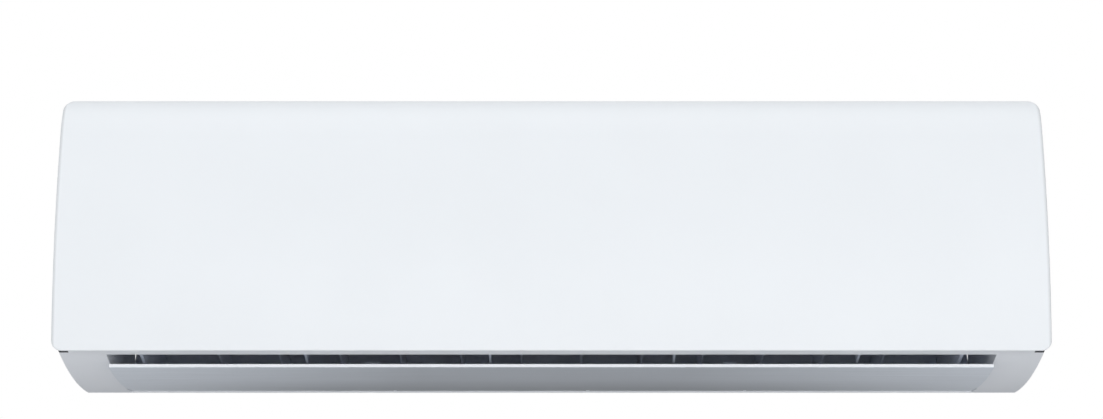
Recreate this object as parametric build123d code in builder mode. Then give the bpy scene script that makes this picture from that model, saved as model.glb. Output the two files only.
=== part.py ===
from build123d import *
import math
import os

# Wall-mounted mini split indoor unit, each piece a separate solid. Millimetres, +Z up, front towards -Y.
# The origin is the centre of the mounting plate's back face, which lies on the wall.
# In the side view a place is given as (depth from the wall, height above the unit's underside).

os.makedirs("parts", exist_ok=True)

# ------------------------------------------------------------------ driving sizes
# whole unit
unit_w = 970.0
unit_h = 300.0
unit_d = 224.0
plate_rise = 150.0  # centre of the mounting plate above the underside
moulded = 2.5  # wall of the moulded casing
loose = 0.3  # seat between pieces that lie on each other
free = 1.0  # gap between pieces that pass each other

# front panel
panel_low = 54.0
face_low = (unit_d, 60.0)
face_mid = (unit_d - 11.0, 165.0)
face_high = (unit_d - 34.0, 270.0)
panel_return = 16.0  # side returns, front to back
panel_corner_r = 10.0
panel_pivot = (unit_d - 58.0, unit_h - 11.0)
panel_lip_r = 10.5
panel_pin_r = 2.5
panel_pin_bore_r = 2.7
catch_x = 300.0

# casing
case_side = 2.0  # how far the casing's sides stand inside the panel's ends
case_back = 1.5
step_side = 9.0  # how far the front step stands inside the panel's ends
step_back = 9.0  # front step behind the panel's face
chin_low = (95.0, 0.0)
chin_mid = (153.0, 20.5)
chin_high = (206.0, 52.5)
lip_drop = 4.0  # lip above the outlet slot
outlet_half = unit_w / 2 - 47.5
outlet_back = 98.0
window_half = unit_w / 2 - 19.0  # front opening behind the panel
window_low = 80.0
window_high = 258.0

# top grille
grille_half = unit_w / 2 - 45.0
grille_front = 146.0
grille_back = 22.0
grille_rows = 3
grille_cols = 40
grille_bar = 3.0

# fan
fan_axis = (104.0, 116.0)
fan_r = 47.0
fan_half = unit_w / 2 - 85.0
fan_blades = 31
fan_blade_t = 1.1
fan_blade_inner_r = 36.0
fan_rings = 11
fan_ring_t = 2.5
shaft_r = 4.0
bearing_r = 8.0
seat_r = 16.0
motor_r = 38.0
motor_len = 44.0
rubber_r = 24.0
rubber_bore_r = 15.0
rubber_len = 8.0

# air path
duct_half = fan_half + 5.0  # inner face of the duct's ends
duct_wall = 3.0
trough_low = (58.0, 182.0)
scroll_start_deg = 155.0
scroll_start_r = 53.0
scroll_end_deg = 228.0
scroll_end_r = 68.0
floor_start = (71.0, 49.5)
floor_end = (94.0, 10.0)
floor_t = 3.0
ceiling_back = (156.0, 86.0)
ceiling_front = (202.0, 51.0)
tray_front = 197.0
tray_half = duct_half + 20.0
tray_rim = 98.0
tray_floor = 80.0

# flap
flap_pivot = (108.0, 12.0)
flap_half = outlet_half - 2.5
flap_t = 3.5
flap_top = 197.0  # depth of the closed flap's upper edge
flap_tail = 101.0  # depth of the closed flap's rear edge
flap_rest_deg = 6.5  # how far the flap stands open in the photograph
flap_pin_r = 2.5
flap_bore_r = 2.7
flap_ear_r = 6.0
bracket_xs = (-162.0, 38.0, 201.0)
bracket_t = 2.5
bracket_hub_r = flap_bore_r + 1.6

# upright vanes
vane_count = 12
vane_end_gap = 39.0  # beyond half a pitch at each end of the duct
vane_pitch = 2 * (duct_half - vane_end_gap) / vane_count
vane_t = 1.6
vane_foot = (85.0, 25.4)
vane_len = 84.0
vane_pin_r = 2.4
vane_bore_r = 2.6
link_high = 33.0  # link bar above the duct floor
link_out = 15.0  # link pins downstream of the vane's own pin
link_pin_r = 1.4
link_bore_r = 1.55
link_w = 5.0
link_t = 2.5

# ribs in the outlet slot, between vanes
rib_pitch = 3 * vane_pitch
rib_first_x = -4 * vane_pitch
rib_count = 4
rib_t = 2.0

# evaporator
coil_half = duct_half + 5.0
coil_t = 24.0
tube_r = 3.5
tube_wall = 0.4
tube_hole_r = 3.6
tube_pitch = 20.0
row_pitch = 12.0
end_plate_t = 1.0
bend_out = 5.0  # straight tube beyond the end plate, before its bend

# air filters
filter_axis = (62.0, 147.0)
filter_r = 141.0
filter_t = 3.0
filter_half = coil_half - 6.0
filter_mid = 6.0
filter_from_deg = 1.0
filter_to_deg = 92.0
filter_travel_deg = 16.0  # how far the filters slide down along their rails
rail_t = 3.0

# mounting plate
plate_w = 720.0
plate_h = 200.0
plate_t = 1.2
plate_hole_r = 3.0
plate_hole_dx = 600.0
plate_hole_dz = 150.0

# piping
suction_r = 6.35
liquid_r = 3.175
pipe_wall = 0.8
drain_r = 8.0
drain_wall = 1.5


# ------------------------------------------------------------------ places
def at(depth, height):
    """Side-view place as sketch coordinates on a plane across the unit."""
    return (-depth, height - plate_rise)


def circle_through(p, q, r):
    """Centre and radius of the circle through three side-view places."""
    ax, ay = q[0] - p[0], q[1] - p[1]
    bx, by = r[0] - p[0], r[1] - p[1]
    cross = 2 * (ax * by - ay * bx)
    ux = (by * (ax * ax + ay * ay) - ay * (bx * bx + by * by)) / cross
    uy = (ax * (bx * bx + by * by) - bx * (ax * ax + ay * ay)) / cross
    return (p[0] + ux, p[1] + uy), math.hypot(ux, uy)


face_centre, face_r = circle_through(face_low, face_mid, face_high)
chin_centre, chin_r = circle_through(chin_low, chin_mid, chin_high)
case_half = unit_w / 2 - case_side
step_half = unit_w / 2 - step_side


def face_depth(height, inset=0.0):
    """Depth of the panel's face, or of a surface behind it, at a height."""
    return face_centre[0] + math.sqrt((face_r - inset) ** 2 - (height - face_centre[1]) ** 2)


def face_arc(low, high, inset=0.0):
    """Three places on the panel's face, or on a surface behind it, from low to high."""
    return [at(face_depth(h, inset), h) for h in (low, (low + high) / 2, high)]


def chin_height(depth, inset=0.0):
    """Height of the casing's rounded underside, or of a surface above it, at a depth."""
    return chin_centre[1] - math.sqrt((chin_r - inset) ** 2 - (depth - chin_centre[0]) ** 2)


def chin_arc(back, front, inset=0.0):
    """Three places on the rounded underside, or on a surface above it, from back to front."""
    return [at(d, chin_height(d, inset)) for d in (back, (back + front) / 2, front)]


def around(centre, radius, degrees):
    """Side-view place on a circle; 0 degrees points to the front, 90 degrees up."""
    turn = math.radians(degrees)
    return (centre[0] + radius * math.cos(turn), centre[1] + radius * math.sin(turn))


def across(x):
    """Plane across the unit at x."""
    return Plane.YZ.offset(x)


def save(piece, name):
    piece.label = name
    export_step(piece, f"parts/{name}.step")


def mirrored_spans(inner, outer):
    """The two stretches of X between inner and outer, left and right, as (start, length)."""
    return [(-outer, outer - inner), (inner, outer - inner)]


# ------------------------------------------------------------------ front panel
ear_x = unit_w / 2 - panel_corner_r - moulded - 2 * free  # outer face of the casing's hinge ears
ear_t = 3.5
panel_tall = panel_pivot[1] + panel_lip_r - panel_low
panel_mid_h = panel_low + panel_tall / 2


def panel_front_lines(inset, low):
    """The panel's face and rounded top edge, from low up to above its pivot."""
    lip = at(*around(panel_pivot, panel_lip_r - inset, 90.0))
    face = ThreePointArc(*face_arc(low, face_high[1], inset))
    top = Spline(face @ 1, lip, tangents=(face % 1, (1.0, 0.0)), tangent_scalars=(1.0, 1.0))
    return face, top


with BuildPart() as panel_hollow:
    with BuildSketch(across(-unit_w / 2 + moulded)):
        with BuildLine():
            inner_face, inner_top = panel_front_lines(moulded, panel_low)
            Polyline(
                inner_top @ 1,
                at(panel_pivot[0] - 2 * panel_lip_r, panel_pivot[1] + panel_lip_r - moulded),
                at(panel_pivot[0] - 2 * panel_lip_r, panel_pivot[1] - 3 * panel_lip_r),
                at(face_depth(panel_low, 3 * panel_return), panel_low),
                inner_face @ 0,
            )
        make_face()
    extrude(amount=unit_w - 2 * moulded)
    with BuildSketch(Plane.XZ):
        with Locations((0, panel_mid_h - plate_rise)):
            RectangleRounded(unit_w - 2 * moulded, panel_tall - 2 * moulded, panel_corner_r - moulded)
    extrude(amount=2 * unit_d, mode=Mode.INTERSECT)

with BuildPart() as front_panel:
    with BuildSketch(across(-unit_w / 2)):
        with BuildLine():
            outer_face, outer_top = panel_front_lines(0.0, panel_low - moulded)
            ThreePointArc(*[at(*around(panel_pivot, panel_lip_r, a)) for a in (90.0, 145.0, 200.0)])
            back_edge = ThreePointArc(*face_arc(panel_low - moulded, face_high[1] - 6.0, panel_return))
            Line(at(*around(panel_pivot, panel_lip_r, 200.0)), back_edge @ 1)
            Line(back_edge @ 0, outer_face @ 0)
        make_face()
    extrude(amount=unit_w)
    with BuildSketch(Plane.XZ):
        with Locations((0, panel_mid_h - plate_rise)):
            RectangleRounded(unit_w, panel_tall, panel_corner_r)
    extrude(amount=2 * unit_d, mode=Mode.INTERSECT)
    add(panel_hollow.part, mode=Mode.SUBTRACT)
    for side in (-1, 1):
        with BuildSketch(across(side * (ear_x - ear_t - 1.0))):
            with Locations(at(*panel_pivot)):
                Circle(panel_pin_r)
        extrude(amount=side * (unit_w / 2 - moulded / 2 - ear_x + ear_t + 1.0))
        with BuildSketch(across(side * catch_x - 6.0)):
            Polygon(
                at(face_depth(72.0, 2.0), 72.0),
                at(face_depth(72.0, 7.5), 71.0),
                at(face_depth(68.0, 7.5), 67.0),
                at(face_depth(66.0, 2.0), 66.0),
                align=None,
            )
        extrude(amount=12.0)
save(front_panel.part, "front_panel")

# ------------------------------------------------------------------ front case
deck_front = panel_pivot[0] - panel_lip_r - free
body_inset = panel_return + free
side_wall_in = case_half - moulded
step_wall_in = step_half - moulded
step_low = panel_low + moulded + 2 * free
step_high = face_high[1]
lip_low = chin_high[1] - lip_drop
button_x = unit_w / 2 - 39.0
button_h = 66.0
button_r = 3.5
window_x = unit_w / 2 - 85.0  # display window
window_size = (60.0, 9.0)
screw_xs = (-300.0, 0.0, 300.0)
screw_depth = 78.0
screw_r = 1.9
screw_bore_r = 2.1
screw_head_r = 3.8
screw_head_t = 1.6
ear_r = 4.6
end_wall_t = 2.5
bush_r = flap_bore_r + 2.0
flap_motor_at = (105.0, 21.5)


def body_outline(inset):
    """Closed outline of the casing's body, or of the hollow inside it."""
    back = case_back if inset == 0.0 else -moulded
    front_low = chin_arc(chin_low[0], chin_high[0], inset)
    rise = face_arc(step_low, step_high - 10.0, body_inset + inset)
    under = Line(at(back, inset), at(chin_low[0], inset))
    chin = ThreePointArc(under @ 1, front_low[1], front_low[2])
    nose = Line(chin @ 1, at(chin_high[0] - inset, step_low))
    shelf = Line(nose @ 1, rise[0])
    front = ThreePointArc(*rise)
    Polyline(
        front @ 1,
        at(deck_front - inset, panel_pivot[1] - 10.0),
        at(deck_front - inset, unit_h - inset),
        at(back, unit_h - inset),
        under @ 0,
    )


def step_outline(inset):
    """Closed outline of the casing's front step, which carries the front opening."""
    low = step_low - free + inset
    high = step_high - inset
    front = ThreePointArc(*face_arc(low, high, step_back + inset))
    Polyline(
        front @ 1,
        at(face_depth(high, body_inset + 4 * moulded), high),
        at(face_depth(low, body_inset + 4 * moulded), low),
        front @ 0,
    )


with BuildPart() as front_case:
    with BuildSketch(across(-case_half)):
        with BuildLine():
            body_outline(0.0)
        make_face()
    extrude(amount=2 * case_half)
    with BuildSketch(across(-step_half)):
        with BuildLine():
            step_outline(0.0)
        make_face()
    extrude(amount=2 * step_half)
    with BuildSketch(across(-side_wall_in)):
        with BuildLine():
            body_outline(moulded)
        make_face()
    extrude(amount=2 * side_wall_in, mode=Mode.SUBTRACT)
    with BuildSketch(across(-step_wall_in)):
        with BuildLine():
            step_outline(moulded)
        make_face()
    extrude(amount=2 * step_wall_in, mode=Mode.SUBTRACT)
    # opening behind the panel
    with BuildSketch(Plane.XZ.offset(face_depth(step_high, body_inset + 5 * moulded))):
        with Locations((0, (window_low + window_high) / 2 - plate_rise)):
            RectangleRounded(2 * window_half, window_high - window_low, 6.0)
    extrude(amount=unit_d, mode=Mode.SUBTRACT)
    # air outlet under the lip
    with BuildSketch(across(-outlet_half)):
        Polygon(
            at(outlet_back, -moulded),
            at(outlet_back, 2 * moulded),
            at(ceiling_front[0] - 3 * moulded, lip_low),
            at(unit_d, lip_low),
            at(unit_d, -moulded),
            align=None,
        )
    extrude(amount=2 * outlet_half, mode=Mode.SUBTRACT)
    # walls that close the outlet's ends
    for start, length in mirrored_spans(outlet_half, outlet_half + end_wall_t):
        with BuildSketch(across(start)):
            with BuildLine():
                back, middle, front = chin_arc(chin_low[0], chin_high[0] - moulded, moulded / 2)
                low_arc = ThreePointArc(back, middle, front)
                Polyline(
                    low_arc @ 1,
                    at(chin_high[0] - moulded, step_low - moulded / 2),
                    at(ceiling_front[0] - 14.0, step_low - moulded / 2),
                    at(flap_pivot[0] - 28.0, floor_start[1]),
                    at(flap_pivot[0] - 28.0, moulded / 2),
                    low_arc @ 0,
                )
            make_face()
            with Locations(at(*flap_pivot)):
                Circle(bush_r + loose / 2, mode=Mode.SUBTRACT)
        extrude(amount=length)
    # top inlet grille
    slot_w = 2 * grille_half / grille_cols
    slot_d = (grille_front - grille_back) / grille_rows
    with BuildSketch(Plane.XY.offset(unit_h - plate_rise - 2 * moulded)):
        with Locations((0, -(grille_front + grille_back) / 2)):
            with GridLocations(slot_w, slot_d, grille_cols, grille_rows):
                RectangleRounded(slot_w - grille_bar, slot_d - grille_bar, 2.0)
    extrude(amount=4 * moulded, mode=Mode.SUBTRACT)
    # ears that hold the panel's pins
    for side in (-1, 1):
        with BuildSketch(across(side * (ear_x - ear_t))):
            with Locations(at(*panel_pivot)):
                Circle(ear_r)
            Polygon(
                at(*around(panel_pivot, ear_r, 200.0)),
                at(deck_front + moulded / 2, panel_pivot[1] - 10.0 - moulded),
                at(panel_pivot[0], step_high - moulded),
                at(*around(panel_pivot, ear_r, 320.0)),
                align=None,
            )
            with Locations(at(*panel_pivot)):
                Circle(panel_pin_bore_r, mode=Mode.SUBTRACT)
        extrude(amount=side * ear_t)
    # display window, manual button, screws
    with BuildSketch(Plane.XZ.offset(unit_d - 3 * moulded)):
        with Locations((window_x, button_h - plate_rise)):
            Rectangle(*window_size)
        with Locations((button_x, button_h - plate_rise)):
            Circle(button_r + 0.4)
    extrude(amount=-5 * moulded, mode=Mode.SUBTRACT)
    with BuildSketch(Plane.XY.offset(-plate_rise - moulded)):
        with Locations(*[(x, -screw_depth) for x in screw_xs]):
            Circle(screw_bore_r)
    extrude(amount=3 * moulded, mode=Mode.SUBTRACT)
    with BuildSketch(Plane.XY.offset(-plate_rise)):
        with Locations(*[(x, -screw_depth) for x in screw_xs]):
            Circle(screw_head_r + loose)
    extrude(amount=screw_head_t, mode=Mode.SUBTRACT)
save(front_case.part, "front_case")

# ------------------------------------------------------------------ mounting plate
hook_xs = (-280.0, 0.0, 280.0)
hook_w = 24.0
hook_rise = 7.0
back_wall = 6.0  # depth of the rear chassis's back face
hook_reach = back_wall + moulded + free
back_wall_low = 64.0
rib_press = 3.0
plate_windows = 6
plate_web = 26.0  # metal left between the windows
plate_window_pitch = (plate_w - plate_web) / plate_windows - 4.0
plate_high = plate_rise + plate_h / 2

with BuildPart() as mounting_plate:
    with BuildSketch(Plane.XZ):
        RectangleRounded(plate_w, plate_h, 12.0)
        with GridLocations(plate_hole_dx, plate_hole_dz, 2, 2):
            Circle(plate_hole_r, mode=Mode.SUBTRACT)
        with GridLocations(plate_window_pitch, 0.0, plate_windows, 1):
            RectangleRounded(plate_window_pitch - plate_web, 0.36 * plate_h, 8.0, mode=Mode.SUBTRACT)
        with Locations(*[(x, plate_h / 2) for x in hook_xs]):
            Rectangle(hook_w + 8.0, 2 * hook_rise, mode=Mode.SUBTRACT)
    extrude(amount=plate_t)
    # pressed stiffening ribs
    with BuildSketch(Plane.XZ.offset(plate_t)):
        with Locations((0, 0.27 * plate_h), (0, -0.27 * plate_h)):
            SlotOverall(0.9 * plate_w, 8.0)
    extrude(amount=rib_press)
    # hooks that the unit hangs on
    for x in hook_xs:
        with BuildSketch(across(x - hook_w / 2)):
            Polygon(
                at(0.0, plate_high - hook_rise - 3.0),
                at(0.0, plate_high - hook_rise + plate_t),
                at(hook_reach, plate_high - hook_rise + plate_t),
                at(hook_reach, plate_high),
                at(hook_reach + plate_t, plate_high),
                at(hook_reach + plate_t, plate_high - hook_rise),
                at(plate_t, plate_high - hook_rise),
                at(plate_t, plate_high - hook_rise - 3.0),
                align=None,
            )
        extrude(amount=hook_w)
save(mounting_plate.part, "mounting_plate")

# ------------------------------------------------------------------ rear chassis
spiral_turn = math.radians(scroll_end_deg - scroll_start_deg)
spiral_steps = 5
chassis_half = side_wall_in - loose
saddle_x = duct_half + duct_wall + rubber_len + motor_len + 2 * loose
saddle_t = 3.0
gusset_xs = (-340.0, -120.0, 120.0, 340.0)
rear_coil_low = (45.0, 189.0)
chassis_top = unit_h - moulded - loose
box_back = 148.0  # electrical box, in front of the motor


def spiral(offset):
    """Places along the scroll behind the fan; its radius grows with the turn."""
    places = []
    for step in range(spiral_steps + 1):
        share = step / spiral_steps
        radius = scroll_start_r + (scroll_end_r - scroll_start_r) * share + offset
        angle = scroll_start_deg + (scroll_end_deg - scroll_start_deg) * share
        places.append(at(*around(fan_axis, radius, angle)))
    return places


with BuildPart() as rear_chassis:
    # back wall with the slots that hang on the plate's hooks
    with BuildSketch(Plane.XZ.offset(back_wall)):
        with Locations((0, (back_wall_low + chassis_top) / 2 - plate_rise)):
            Rectangle(2 * chassis_half, chassis_top - back_wall_low)
        hang_h = plate_h / 2 - hook_rise + plate_t + loose
        with Locations(*[(x, hang_h) for x in hook_xs]):
            Rectangle(hook_w + 4.0, 10.0, align=(Align.CENTER, Align.MAX), mode=Mode.SUBTRACT)
    extrude(amount=moulded)
    # rear drip trough, scroll behind the fan
    with BuildSketch(across(-duct_half - duct_wall)):
        with BuildLine():
            inner = Spline(*spiral(0.0))
            outer = Spline(*spiral(moulded))
            Polyline(
                inner @ 1,
                at(floor_start[0] - 1.5, floor_start[1] + 1.2),
                at(floor_start[0] - 4.2, floor_start[1] - 0.4),
                outer @ 1,
            )
            Polyline(
                inner @ 0,
                at(trough_low[0], trough_low[1] - 4.0),
                at(trough_low[0], trough_low[1] + 6.0),
                at(trough_low[0] - moulded, trough_low[1] + 6.0),
                at(trough_low[0] - moulded, trough_low[1]),
                at(back_wall, trough_low[1]),
                at(back_wall, trough_low[1] - moulded),
                at(trough_low[0] - moulded, trough_low[1] - moulded),
                at(trough_low[0] - moulded, trough_low[1] - 6.0),
                outer @ 0,
            )
        make_face()
    extrude(amount=2 * (duct_half + duct_wall))
    # end walls around the fan
    for start, length in mirrored_spans(duct_half, duct_half + duct_wall):
        with BuildSketch(across(start)):
            with BuildLine():
                edge = Spline(*spiral(moulded / 2))
                Polyline(
                    edge @ 1,
                    at(floor_start[0] - 2.0, floor_start[1] + 2.0),
                    at(floor_start[0], floor_start[1] + 8.0),
                    at(ceiling_back[0] - 2.0, ceiling_back[1] + 6.0),
                    at(ceiling_back[0] - 2.0, 172.0),
                    at(108.0, 232.0),
                    at(96.0, 232.0),
                    at(trough_low[0], trough_low[1] + 2.0),
                    edge @ 0,
                )
            make_face()
            with Locations(at(*fan_axis)):
                Circle((seat_r if start < 0 else rubber_r) + loose / 2, mode=Mode.SUBTRACT)
        extrude(amount=length)
    # saddle for the motor's outer ring, feet for its clamp
    with BuildSketch(across(saddle_x)):
        with Locations(at(*fan_axis)):
            Circle(rubber_r + 8.0)
        Polygon(
            at(back_wall, fan_axis[1] - 44.0),
            at(fan_axis[0], fan_axis[1] - rubber_r - 7.0),
            at(fan_axis[0], fan_axis[1] + rubber_r + 7.0),
            at(back_wall, fan_axis[1] + 44.0),
            align=None,
        )
        with Locations(at(*fan_axis)):
            Circle(rubber_r + loose / 2, mode=Mode.SUBTRACT)
        Polygon(
            at(fan_axis[0], fan_axis[1] - 16.0),
            at(box_back - loose, fan_axis[1] - 12.0),
            at(box_back - loose, fan_axis[1] + 12.0),
            at(fan_axis[0], fan_axis[1] + 16.0),
            align=None,
        )
        with Locations(at(*fan_axis)):
            Circle(rubber_r + loose / 2, mode=Mode.SUBTRACT)
    extrude(amount=saddle_t)
    # gussets between the back wall and the scroll
    for x in gusset_xs:
        with BuildSketch(across(x - moulded / 2)):
            with BuildLine():
                gusset_edge = Spline(*spiral(moulded / 2))
                Polyline(
                    gusset_edge @ 1,
                    at(back_wall + moulded / 2, back_wall_low + 6.0),
                    at(back_wall + moulded / 2, trough_low[1] - moulded / 2),
                    at(trough_low[0] - moulded / 2, trough_low[1] - moulded / 2),
                    gusset_edge @ 0,
                )
            make_face()
        extrude(amount=moulded)
save(rear_chassis.part, "rear_chassis")

# ------------------------------------------------------------------ outlet duct with drip tray
duct_out = duct_half + duct_wall
floor_run = (floor_end[0] - floor_start[0], floor_end[1] - floor_start[1])
floor_len = math.hypot(*floor_run)
flow = (floor_run[0] / floor_len, floor_run[1] / floor_len)  # down the duct floor
lift = (-flow[1], flow[0])  # away from the duct floor, along the vanes' pins
floor_reach = math.dist(vane_foot, floor_end)  # from the vanes' feet to the floor's end
boss_half = 4.5
end_closed = 3.0  # least gap between the closed flap and what stands behind it
flap_sweep_r = math.dist(flap_pivot, (flap_tail, chin_height(flap_tail))) + free
spigot_depth = 178.0
spigot_h = 74.0


def duct_place(rise, run):
    """Side-view place measured from the vanes' foot: along their pins, then down the duct floor."""
    return (
        vane_foot[0] + rise * lift[0] + run * flow[0],
        vane_foot[1] + rise * lift[1] + run * flow[1],
    )


def duct_plane(x, rise):
    """Plane square to the vanes' pins at x, its own y pointing up the duct."""
    depth, height = duct_place(rise, 0.0)
    return Plane(
        origin=(x, -depth, height - plate_rise),
        x_dir=(1, 0, 0),
        z_dir=(0, -lift[0], lift[1]),
    )


def floor_under(depth):
    """Height of the duct floor's underside at a depth."""
    run = depth - floor_start[0] + floor_t * lift[0]
    return floor_start[1] - floor_t * lift[1] + run * flow[1] / flow[0]


vane_xs = [vane_pitch * (i - (vane_count - 1) / 2) for i in range(vane_count)]
rib_xs = [rib_first_x + rib_pitch * i for i in range(rib_count)]
flap_inner = flap_t + end_closed

with BuildPart() as outlet_duct:
    # drip tray over the duct's ceiling
    with BuildSketch(across(-tray_half)):
        Polygon(
            at(*ceiling_back),
            at(ceiling_back[0], tray_rim),
            at(ceiling_back[0] + moulded, tray_rim),
            at(ceiling_back[0] + moulded, tray_floor + 3.0),
            at(tray_front - moulded, tray_floor),
            at(tray_front - moulded, tray_rim),
            at(tray_front, tray_rim),
            at(tray_front, tray_floor - 12.0),
            at(ceiling_front[0] - moulded - loose, step_low + free),
            at(ceiling_front[0] - moulded - loose, ceiling_front[1] + loose),
            at(ceiling_back[0], ceiling_back[1] - 2.0),
            align=None,
        )
    extrude(amount=2 * tray_half)
    for start, length in mirrored_spans(tray_half - moulded, tray_half):
        with BuildSketch(across(start)):
            Polygon(
                at(ceiling_back[0], tray_floor),
                at(ceiling_back[0], tray_rim - 6.0),
                at(tray_front, tray_rim - 6.0),
                at(tray_front, tray_floor - 4.0),
                align=None,
            )
        extrude(amount=length)
    # duct floor with the vanes' pin holes; it also closes the slot's end chambers
    with BuildSketch(across(loose - outlet_half)):
        Polygon(
            at(*floor_start),
            at(*floor_end),
            at(floor_end[0] - floor_t * lift[0], floor_end[1] - floor_t * lift[1]),
            at(floor_start[0] - floor_t * lift[0], floor_start[1] - floor_t * lift[1]),
            align=None,
        )
    extrude(amount=2 * (outlet_half - loose))
    # duct ends
    for start, length in mirrored_spans(duct_half, duct_out):
        with BuildSketch(across(start)):
            with BuildLine():
                hem = ThreePointArc(*chin_arc(floor_end[0] + 28.0, ceiling_front[0] - 9.0, flap_inner))
                Polyline(
                    hem @ 1,
                    at(ceiling_front[0] - 3.5, ceiling_front[1] + 2.0),
                    at(ceiling_back[0], ceiling_back[1] + 2.0),
                    at(floor_start[0] + free, floor_start[1] + 6.0),
                    at(*floor_start),
                    at(*floor_end),
                    *[
                        at(*around(flap_pivot, 1.04 * flap_sweep_r, angle))
                        for angle in (170.0, 140.0, 110.0, 80.0, 55.0)
                    ],
                    hem @ 0,
                )
            make_face()
        extrude(amount=length)
    # support ribs behind the slot
    for x in rib_xs:
        with BuildSketch(across(x - rib_t / 2)):
            with BuildLine():
                rib_hem = ThreePointArc(*chin_arc(172.0, ceiling_front[0] - 9.0, flap_inner))
                Polyline(
                    rib_hem @ 1,
                    at(ceiling_front[0] - 4.0, ceiling_front[1] + 2.0),
                    at(166.0, 82.0),
                    at(164.0, 56.0),
                    rib_hem @ 0,
                )
            make_face()
        extrude(amount=rib_t)
    # screw bosses under the floor
    for x in screw_xs:
        with BuildSketch(across(x - boss_half)):
            Polygon(
                at(screw_depth - boss_half, moulded + loose),
                at(screw_depth - boss_half, floor_under(screw_depth - boss_half) + 1.5),
                at(screw_depth + boss_half, floor_under(screw_depth + boss_half) + 1.5),
                at(screw_depth + boss_half, moulded + loose),
                align=None,
            )
        extrude(amount=2 * boss_half)
    with BuildSketch(Plane.XY.offset(-plate_rise + moulded + loose)):
        with Locations(*[(x, -screw_depth) for x in screw_xs]):
            Circle(screw_r)
    extrude(amount=12.0, mode=Mode.SUBTRACT)
    for x in vane_xs:
        with BuildSketch(duct_plane(x, -2 * floor_t)):
            Circle(vane_bore_r)
        extrude(amount=2 * floor_t + 0.5, mode=Mode.SUBTRACT)
    # drain outlets at both ends
    for side in (-1, 1):
        with BuildSketch(across(side * (tray_half - 1.0))):
            with Locations(at(spigot_depth, spigot_h)):
                Circle(drain_r - drain_wall - 0.2)
        extrude(amount=side * 15.0)
        with BuildSketch(across(side * (tray_half - 12.0))):
            with Locations(at(spigot_depth, spigot_h)):
                Circle(drain_r - 2 * drain_wall - 0.2)
        extrude(amount=side * 28.0, mode=Mode.SUBTRACT)
        with BuildSketch(across(side * (tray_half - 12.0))):
            with Locations(at(spigot_depth, spigot_h + 6.0)):
                Rectangle(8.0, 10.0)
        extrude(amount=side * 6.0, mode=Mode.SUBTRACT)
save(outlet_duct.part, "outlet_duct")

with BuildPart() as drain_plug:
    with BuildSketch(across(tray_half + free)):
        with Locations(at(spigot_depth, spigot_h)):
            Circle(drain_r + 1.0)
            Circle(drain_r - drain_wall, mode=Mode.SUBTRACT)
    extrude(amount=14.0)
    with BuildSketch(across(tray_half + 14.0 + loose)):
        with Locations(at(spigot_depth, spigot_h)):
            Circle(drain_r + 1.0)
    extrude(amount=2.0)
    with BuildSketch(across(tray_half + 15.0)):
        with Locations(at(spigot_depth, spigot_h)):
            RegularPolygon(4.0, 6)
    extrude(amount=5.0)
save(drain_plug.part, "drain_plug")

# ------------------------------------------------------------------ upright vanes and link bars
vane_lap = vane_t / 2
vane_pin_in = 1.0  # how deep a vane's pin runs into its plate
vane_start = 1.5  # vane plate above the duct floor


def vane(x, name):
    """One upright vane: plate, foot pin in the duct floor, link pin across a notch."""
    with BuildPart() as blade:
        with BuildSketch(across(x - vane_lap)):
            Polygon(
                *[
                    at(*duct_place(rise, run))
                    for rise, run in (
                        (vane_start, -8.0),
                        (vane_start, 8.0),
                        (22.0, 10.0),
                        (26.0, 19.0),
                        (vane_len, 19.0),
                        (vane_len + 2.0, 12.0),
                        (vane_len + 2.0, -6.0),
                        (64.0, -10.0),
                        (20.0, -10.0),
                    )
                ],
                align=None,
            )
            Polygon(
                *[
                    at(*duct_place(rise, run))
                    for rise, run in (
                        (link_high - 3.2, link_out - link_w / 2 - 1.6),
                        (link_high - 3.2, 30.0),
                        (link_high + 3.2, 30.0),
                        (link_high + 3.2, link_out - link_w / 2 - 1.6),
                    )
                ],
                align=None,
                mode=Mode.SUBTRACT,
            )
        extrude(amount=vane_t)
        with BuildSketch(duct_plane(x, vane_start)):
            Circle(vane_pin_r + 1.4)
        extrude(amount=-(vane_start - loose))
        with BuildSketch(duct_plane(x, vane_start + vane_pin_in)):
            Circle(vane_pin_r)
        extrude(amount=-(vane_start + vane_pin_in + floor_t + 1.0))
        with BuildSketch(duct_plane(x, link_high - 4.0)):
            with Locations((0, -link_out)):
                Circle(link_pin_r)
        extrude(amount=8.0)
    save(blade.part, name)


group_size = vane_count // 2
vane_groups = {"left": vane_xs[:group_size], "right": vane_xs[group_size:]}
for group, xs in vane_groups.items():
    for number, x in enumerate(xs, start=1):
        vane(x, f"vane_{group}_{number}")
    with BuildPart() as link_bar:
        with BuildSketch(duct_plane(0.0, link_high - link_t / 2)):
            with Locations(((xs[0] + xs[-1]) / 2, -link_out)):
                SlotCenterToCenter(xs[-1] - xs[0], link_w)
            with Locations(*[(x, -link_out) for x in xs]):
                Circle(link_bore_r, mode=Mode.SUBTRACT)
        extrude(amount=link_t)
        with BuildSketch(duct_plane(0.0, link_high + link_t / 2)):
            with Locations(((xs[2] + xs[3]) / 2, -link_out)):
                Rectangle(14.0, 2.0)
        extrude(amount=9.0)
    save(link_bar.part, f"vane_link_{group}")

# ------------------------------------------------------------------ flap, its bush, brackets and motor
flap_ear_x = flap_half - 4.0
flap_ear_t = 3.0
flap_turn = -flap_rest_deg  # the sketch is the closed flap, turned about its pivot
motor_shell_r = 13.0
motor_shell_t = 18.0
flap_motor_x = outlet_half + end_wall_t + loose
ear_screw_pitch = 35.0


def turned(places):
    """Closed-flap places turned to where the photograph shows the flap."""
    turn = math.radians(flap_turn)
    moved = []
    for depth, height in places:
        d, h = depth - flap_pivot[0], height - flap_pivot[1]
        moved.append(
            at(
                flap_pivot[0] + d * math.cos(turn) - h * math.sin(turn),
                flap_pivot[1] + d * math.sin(turn) + h * math.cos(turn),
            )
        )
    return moved


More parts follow.
